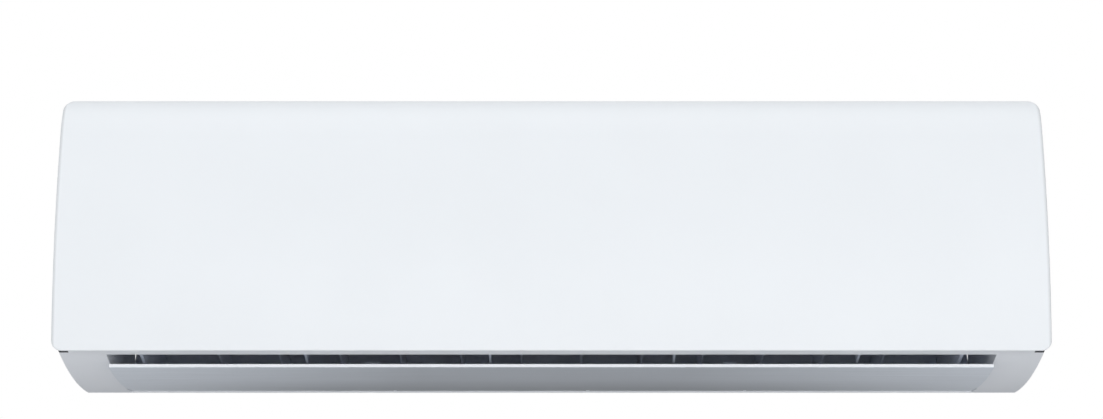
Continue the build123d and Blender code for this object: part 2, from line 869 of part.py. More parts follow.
def chin_places(back, front, inset=0.0):
    return [(d, chin_height(d, inset)) for d in (back, (back + front) / 2, front)]


with BuildPart() as louvre_flap:
    with BuildSketch(across(-flap_half)):
        with BuildLine():
            skin = ThreePointArc(*turned(chin_places(flap_tail, flap_top)))
            lining = ThreePointArc(*turned(chin_places(flap_tail + 1.0, flap_top - 1.5, flap_t)))
            Line(skin @ 0, lining @ 0)
            Line(skin @ 1, lining @ 1)
        make_face()
    extrude(amount=2 * flap_half)
    # ears on the pivot line: both ends and beside each bracket
    ear_spans = mirrored_spans(flap_ear_x - flap_ear_t, flap_ear_x)
    ear_spans += [(x + bracket_t / 2 + loose, flap_ear_t) for x in bracket_xs]
    for start, length in ear_spans:
        with BuildSketch(across(start)):
            with Locations(at(*flap_pivot)):
                Circle(flap_ear_r)
            Polygon(
                *turned(
                    [
                        (flap_pivot[0] - flap_ear_r, flap_pivot[1]),
                        (flap_pivot[0] + 1.0, flap_pivot[1] + flap_ear_r),
                        (flap_pivot[0] + 30.0, chin_height(flap_pivot[0] + 30.0, flap_t / 2)),
                        (flap_pivot[0] + 10.0, chin_height(flap_pivot[0] + 10.0, flap_t / 2)),
                        (flap_pivot[0] - flap_ear_r, chin_height(flap_pivot[0] - flap_ear_r, flap_t / 2)),
                    ]
                ),
                align=None,
            )
        extrude(amount=length)
    # pins through the brackets and into the bush at the left end
    pin_spans = [(x - bracket_t / 2 - 1.0, bracket_t + 2.0) for x in bracket_xs]
    pin_spans += [(-outlet_half - end_wall_t - 3.0, outlet_half + end_wall_t + 4.0 - flap_ear_x)]
    for start, length in pin_spans:
        with BuildSketch(across(start)):
            with Locations(at(*flap_pivot)):
                Circle(flap_pin_r)
        extrude(amount=length)
    # notches that let the flap's tail pass the brackets
    for x in bracket_xs:
        with BuildSketch(across(x - bracket_t / 2 - free)):
            Polygon(
                *turned(
                    [
                        (flap_tail - free, 0.0),
                        (flap_tail - free, flap_pivot[1] - free),
                        (flap_pivot[0] + 3.0, flap_pivot[1] - bracket_hub_r - loose),
                        (flap_pivot[0] + 3.0, 0.0),
                    ]
                ),
                align=None,
            )
        extrude(amount=bracket_t + free + loose, mode=Mode.SUBTRACT)
    # keyed socket for the motor's shaft at the right end
    with BuildSketch(across(flap_ear_x - flap_ear_t)):
        with Locations(at(*flap_pivot)):
            Circle(flap_pin_r - 0.5)
    extrude(amount=flap_ear_t, mode=Mode.SUBTRACT)
save(louvre_flap.part, "louvre_flap")

with BuildPart() as flap_motor_shaft:
    with BuildSketch(across(flap_ear_x - flap_ear_t + loose)):
        with Locations(at(*flap_pivot)):
            Circle(flap_pin_r - 0.5)
    extrude(amount=flap_motor_x + 6.0 - flap_ear_x + flap_ear_t - loose)
save(flap_motor_shaft.part, "flap_motor_shaft")

with BuildPart() as flap_motor:
    with BuildSketch(across(flap_motor_x)):
        with Locations(at(*flap_motor_at)):
            Circle(motor_shell_r)
        with Locations(at(flap_motor_at[0], flap_motor_at[1] + 10.0)):
            Rectangle(15.0, 14.0)
    extrude(amount=motor_shell_t)
    with BuildSketch(across(flap_motor_x)):
        with Locations(at(*flap_motor_at)):
            Rectangle(ear_screw_pitch, 7.0)
            with Locations((-ear_screw_pitch / 2, 0), (ear_screw_pitch / 2, 0)):
                Circle(3.5)
                Circle(1.6, mode=Mode.SUBTRACT)
    extrude(amount=0.9)
    with BuildSketch(across(flap_motor_x)):
        with Locations(at(*flap_pivot)):
            Circle(flap_pin_r - 0.4)
    extrude(amount=7.0, mode=Mode.SUBTRACT)
save(flap_motor.part, "flap_motor")

with BuildPart() as flap_bush:
    with BuildSketch(across(-outlet_half - end_wall_t - 1.5)):
        with Locations(at(*flap_pivot)):
            with Locations((0, 1.6)):
                RectangleRounded(13.0, 11.5, 3.0)
            Circle(flap_bore_r, mode=Mode.SUBTRACT)
    extrude(amount=1.5 - loose)
    with BuildSketch(across(-outlet_half - end_wall_t - loose)):
        with Locations(at(*flap_pivot)):
            Circle(bush_r - loose / 2)
            Circle(flap_bore_r, mode=Mode.SUBTRACT)
    extrude(amount=end_wall_t + loose)
save(flap_bush.part, "flap_bush")

with BuildPart() as flap_brackets:
    for x in bracket_xs:
        with BuildSketch(across(x - bracket_t / 2)):
            Polygon(
                at(*duct_place(loose, floor_reach - 10.0)),
                at(*around(flap_pivot, bracket_hub_r, 80.0)),
                at(*around(flap_pivot, bracket_hub_r, 215.0)),
                at(*duct_place(loose, floor_reach)),
                align=None,
            )
            with Locations(at(*flap_pivot)):
                Circle(bracket_hub_r)
                Circle(flap_bore_r, mode=Mode.SUBTRACT)
        extrude(amount=bracket_t)
save(flap_brackets.part, "flap_brackets")


# ------------------------------------------------------------------ cross-flow fan, its bearing and motor
hub_len = 22.0
hub_r = 9.0
left_shaft_out = 14.0
motor_x = duct_out + rubber_len + loose
motor_boss_r = rubber_bore_r - loose / 2
running = 0.05

with BuildPart() as fan_rotor:
    with BuildSketch(across(-fan_half + fan_ring_t / 2)):
        with Locations(at(*fan_axis)):
            with PolarLocations((fan_r + fan_blade_inner_r) / 2, fan_blades):
                Rectangle(fan_r - fan_blade_inner_r - 0.4, fan_blade_t, rotation=28)
    extrude(amount=2 * fan_half - fan_ring_t)
    ring_step = (2 * fan_half - fan_ring_t) / (fan_rings - 1)
    for i in range(fan_rings):
        with BuildSketch(across(-fan_half + i * ring_step)):
            with Locations(at(*fan_axis)):
                Circle(fan_r)
                if 0 < i < fan_rings - 1:
                    Circle(fan_blade_inner_r - 2.0, mode=Mode.SUBTRACT)
                else:
                    Circle(shaft_r, mode=Mode.SUBTRACT)
        extrude(amount=fan_ring_t)
    for start in (-fan_half + fan_ring_t, fan_half - fan_ring_t - hub_len):
        with BuildSketch(across(start)):
            with Locations(at(*fan_axis)):
                Circle(hub_r)
                Circle(shaft_r, mode=Mode.SUBTRACT)
        extrude(amount=hub_len)
save(fan_rotor.part, "fan_rotor")

with BuildPart() as fan_stub_shaft:
    with BuildSketch(across(-fan_half - left_shaft_out)):
        with Locations(at(*fan_axis)):
            Circle(shaft_r)
    extrude(amount=left_shaft_out + fan_ring_t + hub_len)
save(fan_stub_shaft.part, "fan_stub_shaft")

with BuildPart() as fan_motor_shaft:
    with BuildSketch(across(fan_half - fan_ring_t - hub_len)):
        with Locations(at(*fan_axis)):
            Circle(shaft_r)
    extrude(amount=motor_x + motor_len / 2 - fan_half + fan_ring_t + hub_len)
save(fan_motor_shaft.part, "fan_motor_shaft")

with BuildPart() as fan_bearing:
    with BuildSketch(across(-duct_out - 4.0)):
        with Locations(at(*fan_axis)):
            Circle(bearing_r)
            Circle(shaft_r + running, mode=Mode.SUBTRACT)
    extrude(amount=9.0)
save(fan_bearing.part, "fan_bearing")

with BuildPart() as bearing_seat:
    with BuildSketch(across(-duct_out - 6.0)):
        with Locations(at(*fan_axis)):
            Circle(seat_r)
            Circle(bearing_r, mode=Mode.SUBTRACT)
    extrude(amount=10.0)
    with BuildSketch(across(-duct_out - 6.0)):
        with Locations(at(*fan_axis)):
            Circle(seat_r + 4.0)
            Circle(seat_r - 1.0, mode=Mode.SUBTRACT)
    extrude(amount=6.0 - loose)
save(bearing_seat.part, "bearing_seat")

with BuildPart() as fan_motor:
    with BuildSketch(across(motor_x)):
        with Locations(at(*fan_axis)):
            Circle(motor_r)
    extrude(amount=motor_len)
    with BuildSketch(across(motor_x - rubber_len + loose)):
        with Locations(at(*fan_axis)):
            Circle(motor_boss_r)
    extrude(amount=motor_len + 2 * rubber_len - 2 * loose)
    rims = fan_motor.edges().filter_by(GeomType.CIRCLE).filter_by(lambda e: abs(e.radius - motor_r) < 0.01)
    fillet(rims, 5.0)
    with BuildSketch(across(duct_half - 10.0)):
        with Locations(at(*fan_axis)):
            Circle(shaft_r + running)
    extrude(amount=motor_x + motor_len / 2 - duct_half + 10.0 + loose, mode=Mode.SUBTRACT)
save(fan_motor.part, "fan_motor")

with BuildPart() as motor_rubbers:
    for start in (duct_half, saddle_x - loose):
        with BuildSketch(across(start)):
            with Locations(at(*fan_axis)):
                Circle(rubber_r)
                Circle(rubber_bore_r, mode=Mode.SUBTRACT)
        extrude(amount=rubber_len - loose)
save(motor_rubbers.part, "motor_rubbers")

# ------------------------------------------------------------------ evaporator
# each slab: inner corner nearest its start, direction along it, tubes in each row
slabs = {
    "coil_front": ((160.0, 92.5), 90.0, 84.0, 4),
    "coil_upper": ((159.0, 180.5), 128.5, 86.0, 4),
    "coil_rear": ((99.5, 244.5), 225.5, 78.0, 4),
}
end_plate_margin = 1.5


def slab_plane(corner, heading, x):
    """Plane across the unit at x; its own x runs along the slab, its own y outwards."""
    turn = math.radians(heading)
    y, z = at(*corner)
    along = (0.0, -math.cos(turn), math.sin(turn))
    return Plane(origin=(x, y, z), x_dir=along, z_dir=(1, 0, 0))


def tube_places(length, count):
    """Tube centres on a slab's own plane, two staggered rows."""
    start = (length - tube_pitch * (count - 0.5)) / 2
    rows = []
    for row in range(2):
        for i in range(count):
            rows.append((start + tube_pitch * (i + 0.5 * row), (coil_t - row_pitch) / 2 + row_pitch * row))
    return rows


for name, (corner, heading, length, count) in slabs.items():
    with BuildPart() as slab:
        with BuildSketch(slab_plane(corner, heading, -coil_half)):
            Rectangle(length, coil_t, align=Align.MIN)
            with Locations(*tube_places(length, count)):
                Circle(tube_hole_r, mode=Mode.SUBTRACT)
        extrude(amount=2 * coil_half)
    save(slab.part, name)

end_plate_xs = {
    "coil_plate_left": -coil_half - loose - end_plate_t,
    "coil_plate_right": coil_half + loose,
}
for name, x in end_plate_xs.items():
    with BuildPart() as plate:
        for corner, heading, length, count in slabs.values():
            with BuildSketch(slab_plane(corner, heading, x)):
                with Locations((length / 2, coil_t / 2)):
                    Rectangle(length + 2 * end_plate_margin, coil_t + 2 * end_plate_margin)
            extrude(amount=end_plate_t)
        for (corner, heading, length, count), (next_corner, next_heading, next_length, _) in zip(
            list(slabs.values())[:2], list(slabs.values())[1:]
        ):
            with BuildSketch(across(x)):
                turn = math.radians(heading)
                next_turn = math.radians(next_heading)
                far = (corner[0] + length * math.cos(turn), corner[1] + length * math.sin(turn))
                far_out = (far[0] + coil_t * math.sin(turn), far[1] - coil_t * math.cos(turn))
                near_out = (
                    next_corner[0] + coil_t * math.sin(next_turn),
                    next_corner[1] - coil_t * math.cos(next_turn),
                )
                Polygon(at(*far), at(*far_out), at(*near_out), at(*next_corner), align=None)
            extrude(amount=end_plate_t)
        for corner, heading, length, count in slabs.values():
            with BuildSketch(slab_plane(corner, heading, x)):
                with Locations(*tube_places(length, count)):
                    Circle(tube_hole_r)
            extrude(amount=end_plate_t, mode=Mode.SUBTRACT)
    save(plate.part, name)

tube_end = coil_half + loose + end_plate_t + bend_out


def on_slab(name, place):
    """Y and Z of a place given on a slab's own plane."""
    corner, heading, _, _ = slabs[name]
    spot = slab_plane(corner, heading, 0.0).from_local_coords(Vector(place[0], place[1], 0))
    return (spot.Y, spot.Z)


circuit = []
for name, (_, _, length, count) in slabs.items():
    places = tube_places(length, count)
    for i in range(count):
        circuit.append(on_slab(name, places[i]))
        circuit.append(on_slab(name, places[count + i]))

with BuildPart() as coil_tubes:
    with BuildSketch(across(-tube_end)):
        with Locations(*circuit):
            Circle(tube_r)
            Circle(tube_r - tube_wall, mode=Mode.SUBTRACT)
    extrude(amount=2 * tube_end)
    # return bends, alternately at the right and at the left end
    for number, (one, two) in enumerate(zip(circuit, circuit[1:])):
        side = 1 if number % 2 == 0 else -1
        centre = ((one[0] + two[0]) / 2, (one[1] + two[1]) / 2)
        axis = Axis((side * tube_end, *centre), (0, side * (one[1] - two[1]), side * (two[0] - one[0])))
        with BuildSketch(across(side * tube_end)):
            with Locations(one):
                Circle(tube_r)
                Circle(tube_r - tube_wall, mode=Mode.SUBTRACT)
        revolve(axis=axis, revolution_arc=180)
save(coil_tubes.part, "coil_tubes")

# ------------------------------------------------------------------ pipes, nuts, drain hose
suction_run = (24.0, 42.0)  # depth and height of each run along the back
liquid_run = (47.0, 47.0)
drain_run = (30.0, 15.0)
suction_drop_x = -tray_half - 15.0
liquid_drop_x = -tray_half - 25.0
drain_drop_x = -tray_half - 37.0
suction_stop_x = 90.0
liquid_stop_x = 60.0
drain_stop_x = -180.0
foam_r = 13.0
foam_from_x = -fan_half
foam_to_x = 40.0
clamp_x = -230.0
clamp_t = 1.2
clamp_w = 14.0


def place3(x, side_place):
    """Point in space at x and a side-view place."""
    y, z = at(*side_place)
    return (x, y, z)


def tube_along(points, radius, bore, bend):
    """Round tube along straight runs with rounded bends."""
    with BuildPart() as tube:
        with BuildLine():
            route = FilletPolyline(*points, radius=bend)
        with BuildSketch(Plane(origin=route @ 0, z_dir=route % 0)):
            Circle(radius)
            Circle(bore, mode=Mode.SUBTRACT)
        sweep(path=route)
    return tube.part


suction_pipe = tube_along(
    [
        (-tube_end, *circuit[-1]),
        (suction_drop_x, *circuit[-1]),
        place3(suction_drop_x, suction_run),
        place3(suction_stop_x, suction_run),
    ],
    suction_r,
    suction_r - pipe_wall,
    13.0,
)
save(suction_pipe, "suction_pipe")

liquid_pipe = tube_along(
    [
        (-tube_end, *circuit[0]),
        (liquid_drop_x, *circuit[0]),
        place3(liquid_drop_x, liquid_run),
        place3(liquid_stop_x, liquid_run),
    ],
    liquid_r,
    liquid_r - pipe_wall,
    12.0,
)
save(liquid_pipe, "liquid_pipe")

drain_hose = tube_along(
    [
        place3(-tray_half - free, (spigot_depth, spigot_h)),
        place3(drain_drop_x, (spigot_depth, spigot_h)),
        place3(drain_drop_x, drain_run),
        place3(drain_stop_x, drain_run),
    ],
    drain_r,
    drain_r - drain_wall,
    16.0,
)
save(drain_hose, "drain_hose")

with BuildPart() as pipe_insulation:
    with BuildSketch(across(foam_from_x)):
        with Locations(at(*suction_run)):
            Circle(foam_r)
            Circle(suction_r + loose, mode=Mode.SUBTRACT)
    extrude(amount=foam_to_x - foam_from_x)
save(pipe_insulation.part, "pipe_insulation")

nut_sizes = {
    # stop, run, pipe radius, across flats, length, thread radius
    "suction": (suction_stop_x, suction_run, suction_r, 24.0, 24.0, 9.53),
    "liquid": (liquid_stop_x, liquid_run, liquid_r, 17.0, 18.0, 5.56),
}
with BuildPart() as flare_nuts:
    for stop, run, pipe_r, flats, length, thread_r in nut_sizes.values():
        with BuildSketch(across(stop - length / 2)):
            with Locations(at(*run)):
                RegularPolygon(flats / 2, 6, major_radius=False)
                Circle(pipe_r + loose / 2, mode=Mode.SUBTRACT)
        extrude(amount=length)
        with BuildSketch(across(stop + free)):
            with Locations(at(*run)):
                Circle(thread_r)
        extrude(amount=length, mode=Mode.SUBTRACT)
save(flare_nuts.part, "flare_nuts")

with BuildPart() as pipe_clamp:
    with BuildSketch(across(clamp_x - clamp_w / 2)):
        with Locations(at(*suction_run)):
            Circle(foam_r + loose + clamp_t)
        Polygon(
            at(back_wall - loose - clamp_t, suction_run[1]),
            at(back_wall - loose, suction_run[1]),
            at(back_wall - loose, back_wall_low + 16.0),
            at(back_wall - loose - clamp_t, back_wall_low + 16.0),
            align=None,
        )
        Polygon(
            at(back_wall - loose, suction_run[1] + 2.0),
            at(back_wall - loose - clamp_t, suction_run[1] + 2.0),
            at(back_wall - loose - clamp_t, suction_run[1] - 2.0),
            at(suction_run[0] - foam_r, suction_run[1] - 2.0),
            at(suction_run[0] - foam_r, suction_run[1] + 2.0),
            align=None,
        )
        with Locations(at(*suction_run)):
            Circle(foam_r + loose, mode=Mode.SUBTRACT)
    extrude(amount=clamp_w)
save(pipe_clamp.part, "pipe_clamp")

# ------------------------------------------------------------------ air filters and their rails
rail_w = 14.0
guide_t = 2.0
mesh_t = 0.5
frame_w = 8.0
strip_w = 3.0
filter_strips = 5
filter_bars = 7
tab_w = 36.0
rail_out = filter_r - filter_t - mesh_t - 2 * loose
rail_end_deg = filter_from_deg - filter_travel_deg - 2.5
tray_seat = tray_rim + loose


def band(centre, inner_r, outer_r, from_deg, to_deg):
    """Side-view arch between two radii and two angles."""
    middle = (from_deg + to_deg) / 2
    low = ThreePointArc(*[at(*around(centre, inner_r, a)) for a in (from_deg, middle, to_deg)])
    high = ThreePointArc(*[at(*around(centre, outer_r, a)) for a in (from_deg, middle, to_deg)])
    Line(low @ 0, high @ 0)
    Line(low @ 1, high @ 1)


with BuildPart() as filter_rails:
    for start, length in (
        (-filter_half - guide_t - loose, rail_w),
        (-filter_mid - rail_w / 2, 2 * filter_mid + rail_w),
        (filter_half + guide_t + loose - rail_w, rail_w),
    ):
        with BuildSketch(across(start)):
            with BuildLine():
                band(filter_axis, rail_out - rail_t, rail_out, rail_end_deg, 98.0)
            make_face()
            Polygon(
                at(*around(filter_axis, rail_out, rail_end_deg + 0.5)),
                at(tray_front, tray_seat),
                at(tray_front - moulded, tray_seat),
                at(*around(filter_axis, rail_out - rail_t, rail_end_deg + 0.5)),
                align=None,
            )
            Polygon(
                at(filter_axis[0] - 18.0, filter_axis[1] + rail_out - rail_t),
                at(filter_axis[0] - 8.0, filter_axis[1] + rail_out - rail_t),
                at(filter_axis[0] - 8.0, unit_h - moulded - loose),
                at(filter_axis[0] - 18.0, unit_h - moulded - loose),
                align=None,
            )
        extrude(amount=length)
    for start, length in (
        (-filter_half - guide_t - loose, guide_t),
        (-filter_mid + loose, 2 * filter_mid - 2 * loose),
        (filter_half + loose, guide_t),
    ):
        with BuildSketch(across(start)):
            with BuildLine():
                band(filter_axis, rail_out - rail_t / 2, filter_r, rail_end_deg + 1.5, 94.0)
            make_face()
        extrude(amount=length)
save(filter_rails.part, "filter_rails")

filter_w = filter_half - filter_mid
for group, start in (("left", -filter_half), ("right", filter_mid)):
    with BuildPart() as air_filter:
        strip_step = (filter_w - strip_w) / (filter_strips + 1)
        uprights = [(start + strip_step * i, strip_w) for i in range(1, filter_strips + 1)]
        uprights += [(start, frame_w), (start + filter_w - frame_w, frame_w)]
        for x, w in uprights:
            with BuildSketch(across(x)):
                with BuildLine():
                    band(filter_axis, filter_r - filter_t, filter_r, filter_from_deg, filter_to_deg)
                make_face()
            extrude(amount=w)
        bar_step = (filter_to_deg - filter_from_deg - 3.0) / (filter_bars - 1)
        for i in range(filter_bars):
            angle = filter_from_deg + i * bar_step
            with BuildSketch(across(start)):
                with BuildLine():
                    band(filter_axis, filter_r - filter_t, filter_r - 0.5, angle, angle + 2.0)
                make_face()
            extrude(amount=filter_w)
        with BuildSketch(across(start + (filter_w - tab_w) / 2)):
            with BuildLine():
                band(
                    filter_axis,
                    filter_r - filter_t / 2,
                    filter_r + 6.0,
                    filter_from_deg,
                    filter_from_deg + 1.5,
                )
            make_face()
        extrude(amount=tab_w)
    save(air_filter.part, f"air_filter_{group}")
    with BuildPart() as filter_mesh:
        with BuildSketch(across(start)):
            with BuildLine():
                band(
                    filter_axis,
                    filter_r - filter_t - mesh_t,
                    filter_r - filter_t,
                    filter_from_deg,
                    filter_to_deg,
                )
            make_face()
        extrude(amount=filter_w)
    save(filter_mesh.part, f"filter_mesh_{group}")


# ------------------------------------------------------------------ electrical box
box_left = tray_half + 5.0
box_right = unit_w / 2 - 14.0
box_front = 177.0
box_low = 86.0
box_high = 256.0
box_wall = 2.0
cover_split = 128.0
cover_t = 1.0
board_t = 1.6
board_gap = 6.0
box_mid_x = (box_left + box_right) / 2
board_w = box_right - box_left - 2 * box_wall - 2 * free
board_low = cover_split + 6.0
board_high = box_high - box_wall - free
board_face = box_back + box_wall + board_gap + board_t


def xz(x, height):
    """Sketch coordinates on a plane parallel to the wall."""
    return (x, height - plate_rise)


with BuildPart() as electrical_box:
    with BuildSketch(Plane.XZ.offset(box_back)):
        with Locations(xz(box_mid_x, (box_low + box_high) / 2)):
            RectangleRounded(box_right - box_left, box_high - box_low, 3.0)
    extrude(amount=box_front - box_back)
    with BuildSketch(Plane.XZ.offset(box_back + box_wall)):
        with Locations(xz(box_mid_x, (box_low + box_high) / 2)):
            RectangleRounded(box_right - box_left - 2 * box_wall, box_high - box_low - 2 * box_wall, 1.5)
    extrude(amount=box_front - box_back, mode=Mode.SUBTRACT)
    # posts under the board, partition over the terminals, cord entry
    with BuildSketch(Plane.XZ.offset(box_back + box_wall / 2)):
        with Locations(xz(box_mid_x, (board_low + board_high) / 2)):
            with GridLocations(board_w - 8.0, board_high - board_low - 10.0, 2, 2):
                Circle(2.5)
    extrude(amount=box_wall / 2 + board_gap - loose)
    with BuildSketch(Plane.XZ.offset(box_back + box_wall / 2)):
        with Locations(xz(box_mid_x, cover_split)):
            Rectangle(box_right - box_left - box_wall, box_wall)
    extrude(amount=box_front - box_back - box_wall / 2 - 6.0)
    with BuildSketch(Plane.XY.offset(box_low - plate_rise - free)):
        with Locations((box_mid_x, -box_front + 7.0)):
            Circle(5.0)
    extrude(amount=box_wall + 2 * free, mode=Mode.SUBTRACT)
save(electrical_box.part, "electrical_box")

with BuildPart() as control_board:
    with BuildSketch(Plane.XZ.offset(board_face - board_t)):
        with Locations(xz(box_mid_x, (board_low + board_high) / 2)):
            Rectangle(board_w, board_high - board_low)
    extrude(amount=board_t)
    # relay, transformer, heat sink, connectors
    for x, rise, w, h, t in (
        (-8.0, 16.0, 15.0, 20.0, 14.0),
        (6.0, 46.0, 20.0, 24.0, 15.0),
        (-9.0, 80.0, 12.0, 30.0, 12.0),
        (8.0, 108.0, 16.0, 8.0, 8.0),
        (-8.0, 108.0, 10.0, 8.0, 8.0),
        (9.0, 7.0, 12.0, 8.0, 8.0),
    ):
        with BuildSketch(Plane.XZ.offset(board_face)):
            with Locations(xz(box_mid_x + x, board_low + rise)):
                Rectangle(w, h)
        extrude(amount=t)
    # capacitors
    for x, rise, r, t in ((8.0, 24.0, 6.0, 16.0), (9.0, 68.0, 5.0, 12.0), (9.0, 84.0, 5.0, 12.0)):
        with BuildSketch(Plane.XZ.offset(board_face)):
            with Locations(xz(box_mid_x + x, board_low + rise)):
                Circle(r)
        extrude(amount=t)
save(control_board.part, "control_board")

terminal_low = 100.0
terminal_poles = 4
pole_pitch = 8.0

with BuildPart() as terminal_block:
    with BuildSketch(Plane.XZ.offset(box_back + box_wall + loose)):
        with Locations(xz(box_mid_x, terminal_low + 9.0)):
            Rectangle(terminal_poles * pole_pitch, 18.0)
    extrude(amount=9.0)
    with BuildSketch(Plane.XZ.offset(box_back + box_wall + loose + 9.0)):
        with Locations(xz(box_mid_x, terminal_low + 9.0)):
            with GridLocations(pole_pitch, 1.0, terminal_poles + 1, 1):
                Rectangle(1.2, 16.0)
    extrude(amount=4.0)
    with BuildSketch(Plane.XZ.offset(box_back + box_wall + loose + 9.0)):
        with Locations(xz(box_mid_x, terminal_low + 9.0)):
            with GridLocations(pole_pitch, 9.0, terminal_poles, 2):
                Circle(2.6)
    extrude(amount=2.0)
save(terminal_block.part, "terminal_block")

with BuildPart() as cord_clamp:
    with BuildSketch(Plane.XY.offset(box_low + box_wall + loose - plate_rise)):
        with Locations((box_mid_x, -box_back - box_wall - 8.0)):
            RectangleRounded(28.0, 9.0, 2.0)
            with GridLocations(20.0, 1.0, 2, 1):
                Circle(1.8, mode=Mode.SUBTRACT)
    extrude(amount=8.0)
    with BuildSketch(Plane.XZ.offset(box_back)):
        with Locations(xz(box_mid_x, box_low + box_wall + loose)):
            Circle(4.0)
    extrude(amount=box_front - box_back, mode=Mode.SUBTRACT)
save(cord_clamp.part, "cord_clamp")

for name, low, high in (
    ("wiring_cover", box_low, cover_split - loose),
    ("electrical_cover", cover_split + loose, box_high),
):
    with BuildPart() as cover:
        with BuildSketch(Plane.XZ.offset(box_front + loose)):
            with Locations(xz(box_mid_x, (low + high) / 2)):
                RectangleRounded(box_right - box_left, high - low, 2.5)
                with Locations((0, (high - low) / 2 - 7.0), (0, 7.0 - (high - low) / 2)):
                    Circle(1.7, mode=Mode.SUBTRACT)
        extrude(amount=cover_t)
    save(cover.part, name)

# ------------------------------------------------------------------ display, manual button, sensors, screws
wall_back = face_depth(button_h + window_size[1], step_back + moulded) - loose
wall_face = face_depth(button_h, step_back)
window_rim = 3.0
leg_reach = 6.0
display_end = 12.0  # board past the button's middle
display_start = 4.0  # board past the window's end
display_x = (window_x - window_size[0] / 2 - display_start, button_x + display_end)
display_tall = 10.0
button_travel = 1.5
switch_t = 2.5

with BuildPart() as display_window:
    with BuildSketch(Plane.XZ.offset(wall_back - 1.0)):
        with Locations(xz(window_x, button_h)):
            Rectangle(window_size[0] + 2 * window_rim, window_size[1] + window_rim)
    extrude(amount=1.0)
    with BuildSketch(Plane.XZ.offset(wall_back - 0.5)):
        with Locations(xz(window_x, button_h)):
            Rectangle(window_size[0] - 2 * loose, window_size[1] - 2 * loose)
    extrude(amount=wall_face - wall_back)
    with BuildSketch(Plane.XZ.offset(wall_back - leg_reach)):
        with Locations(xz(window_x, button_h)):
            with GridLocations(window_size[0], 1.0, 2, 1):
                Rectangle(3.0, 8.0)
    extrude(amount=leg_reach - 0.5)
save(display_window.part, "display_window")

board_back = wall_back - leg_reach - loose - board_t
with BuildPart() as display_board:
    with BuildSketch(Plane.XZ.offset(board_back)):
        with Locations(xz(sum(display_x) / 2, button_h)):
            Rectangle(display_x[1] - display_x[0], display_tall)
    extrude(amount=board_t)
    with BuildSketch(Plane.XZ.offset(board_back + board_t)):
        with Locations(*[xz(window_x + 7.0 * i, button_h) for i in (-2, -1, 0, 1)]):
            Rectangle(4.0, 5.0)
        with Locations(xz(window_x + 18.0, button_h)):
            Rectangle(7.0, 7.0)
    extrude(amount=3.5)
    with BuildSketch(Plane.XZ.offset(board_back + board_t)):
        with Locations(xz(button_x, button_h)):
            Rectangle(6.0, 6.0)
    extrude(amount=switch_t)
save(display_board.part, "display_board")

with BuildPart() as manual_button:
    with BuildSketch(Plane.XZ.offset(wall_back - 1.2)):
        with Locations(xz(button_x, button_h)):
            Circle(button_r + 1.5)
    extrude(amount=1.2)
    with BuildSketch(Plane.XZ.offset(wall_back - 0.5)):
        with Locations(xz(button_x, button_h)):
            Circle(button_r)
    extrude(amount=wall_face - wall_back + 0.5 + button_travel + 0.5)
    with BuildSketch(Plane.XZ.offset(board_back + board_t + switch_t + button_travel + 0.2)):
        with Locations(xz(button_x, button_h)):
            Circle(1.5)
    extrude(amount=wall_back - 1.0 - (board_back + board_t + switch_t + button_travel + 0.2))
save(manual_button.part, "manual_button")

sensor_r = 2.5
sensor_len = 22.0
sensor_xs = (-330.0, 350.0)
sensor_h = 128.0
sensor_off = slabs["coil_front"][0][0] + coil_t + loose + sensor_r

with BuildPart() as temperature_sensors:
    for x in sensor_xs:
        with BuildSketch(across(x)):
            with Locations(at(sensor_off, sensor_h)):
                Circle(sensor_r)
        extrude(amount=sensor_len)
        with BuildSketch(across(x + 4.0)):
            with Locations(at(sensor_off, sensor_h)):
                Rectangle(2 * sensor_r, 2 * sensor_r + 4.0)
        extrude(amount=6.0)
save(temperature_sensors.part, "temperature_sensors")

with BuildPart() as case_screws:
    with BuildSketch(Plane.XY.offset(-plate_rise)):
        with Locations(*[(x, -screw_depth) for x in screw_xs]):
            Circle(screw_head_r)
    extrude(amount=screw_head_t)
    with BuildSketch(Plane.XY.offset(-plate_rise)):
        with Locations(*[(x, -screw_depth) for x in screw_xs]):
            Circle(screw_r)
    extrude(amount=12.0)
save(case_screws.part, "case_screws")
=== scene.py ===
import math

import bmesh
import bpy
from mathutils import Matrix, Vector

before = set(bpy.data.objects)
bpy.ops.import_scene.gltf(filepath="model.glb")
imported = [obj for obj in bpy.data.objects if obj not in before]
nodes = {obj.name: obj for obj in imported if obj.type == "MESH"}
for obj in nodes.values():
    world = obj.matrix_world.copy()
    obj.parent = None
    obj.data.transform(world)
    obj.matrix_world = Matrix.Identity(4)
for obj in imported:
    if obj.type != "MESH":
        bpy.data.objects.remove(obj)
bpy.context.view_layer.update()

# %% [markdown]
# ## Where the eye stands
#
# The unit is seen straight from the front, from a little under two metres, level with the lower
# part of its panel. The camera could be tipped down to centre the unit, but then upright edges
# would lean together. A level camera keeps them upright, so only its height and its distance
# decide how much of the rounded underside shows.
#
# Blender wants a focal length in millimetres for a sensor of a known width. Here it is worked
# out from a focal length in pixels and the picture's width in pixels.
# %% Camera
MM = 0.001  # Blender's unit is the metre
PICTURE_W_PX = 1103
FOCAL_PX = 1754.0
SENSOR_MM = 36.0
EYE = Vector((0.0, -1.924, 0.041))
LEVEL = (math.radians(90.0), 0.0, 0.0)
camera_data = bpy.data.cameras.new("eye")
camera_data.sensor_width = SENSOR_MM
camera_data.lens = FOCAL_PX * SENSOR_MM / PICTURE_W_PX
camera = bpy.data.objects.new("eye", camera_data)
bpy.context.scene.collection.objects.link(camera)
camera.location = EYE
camera.rotation_euler = LEVEL
bpy.context.scene.camera = camera
bpy.context.scene.view_settings.view_transform = "Standard"
print("focal length", round(camera_data.lens, 2), "mm")

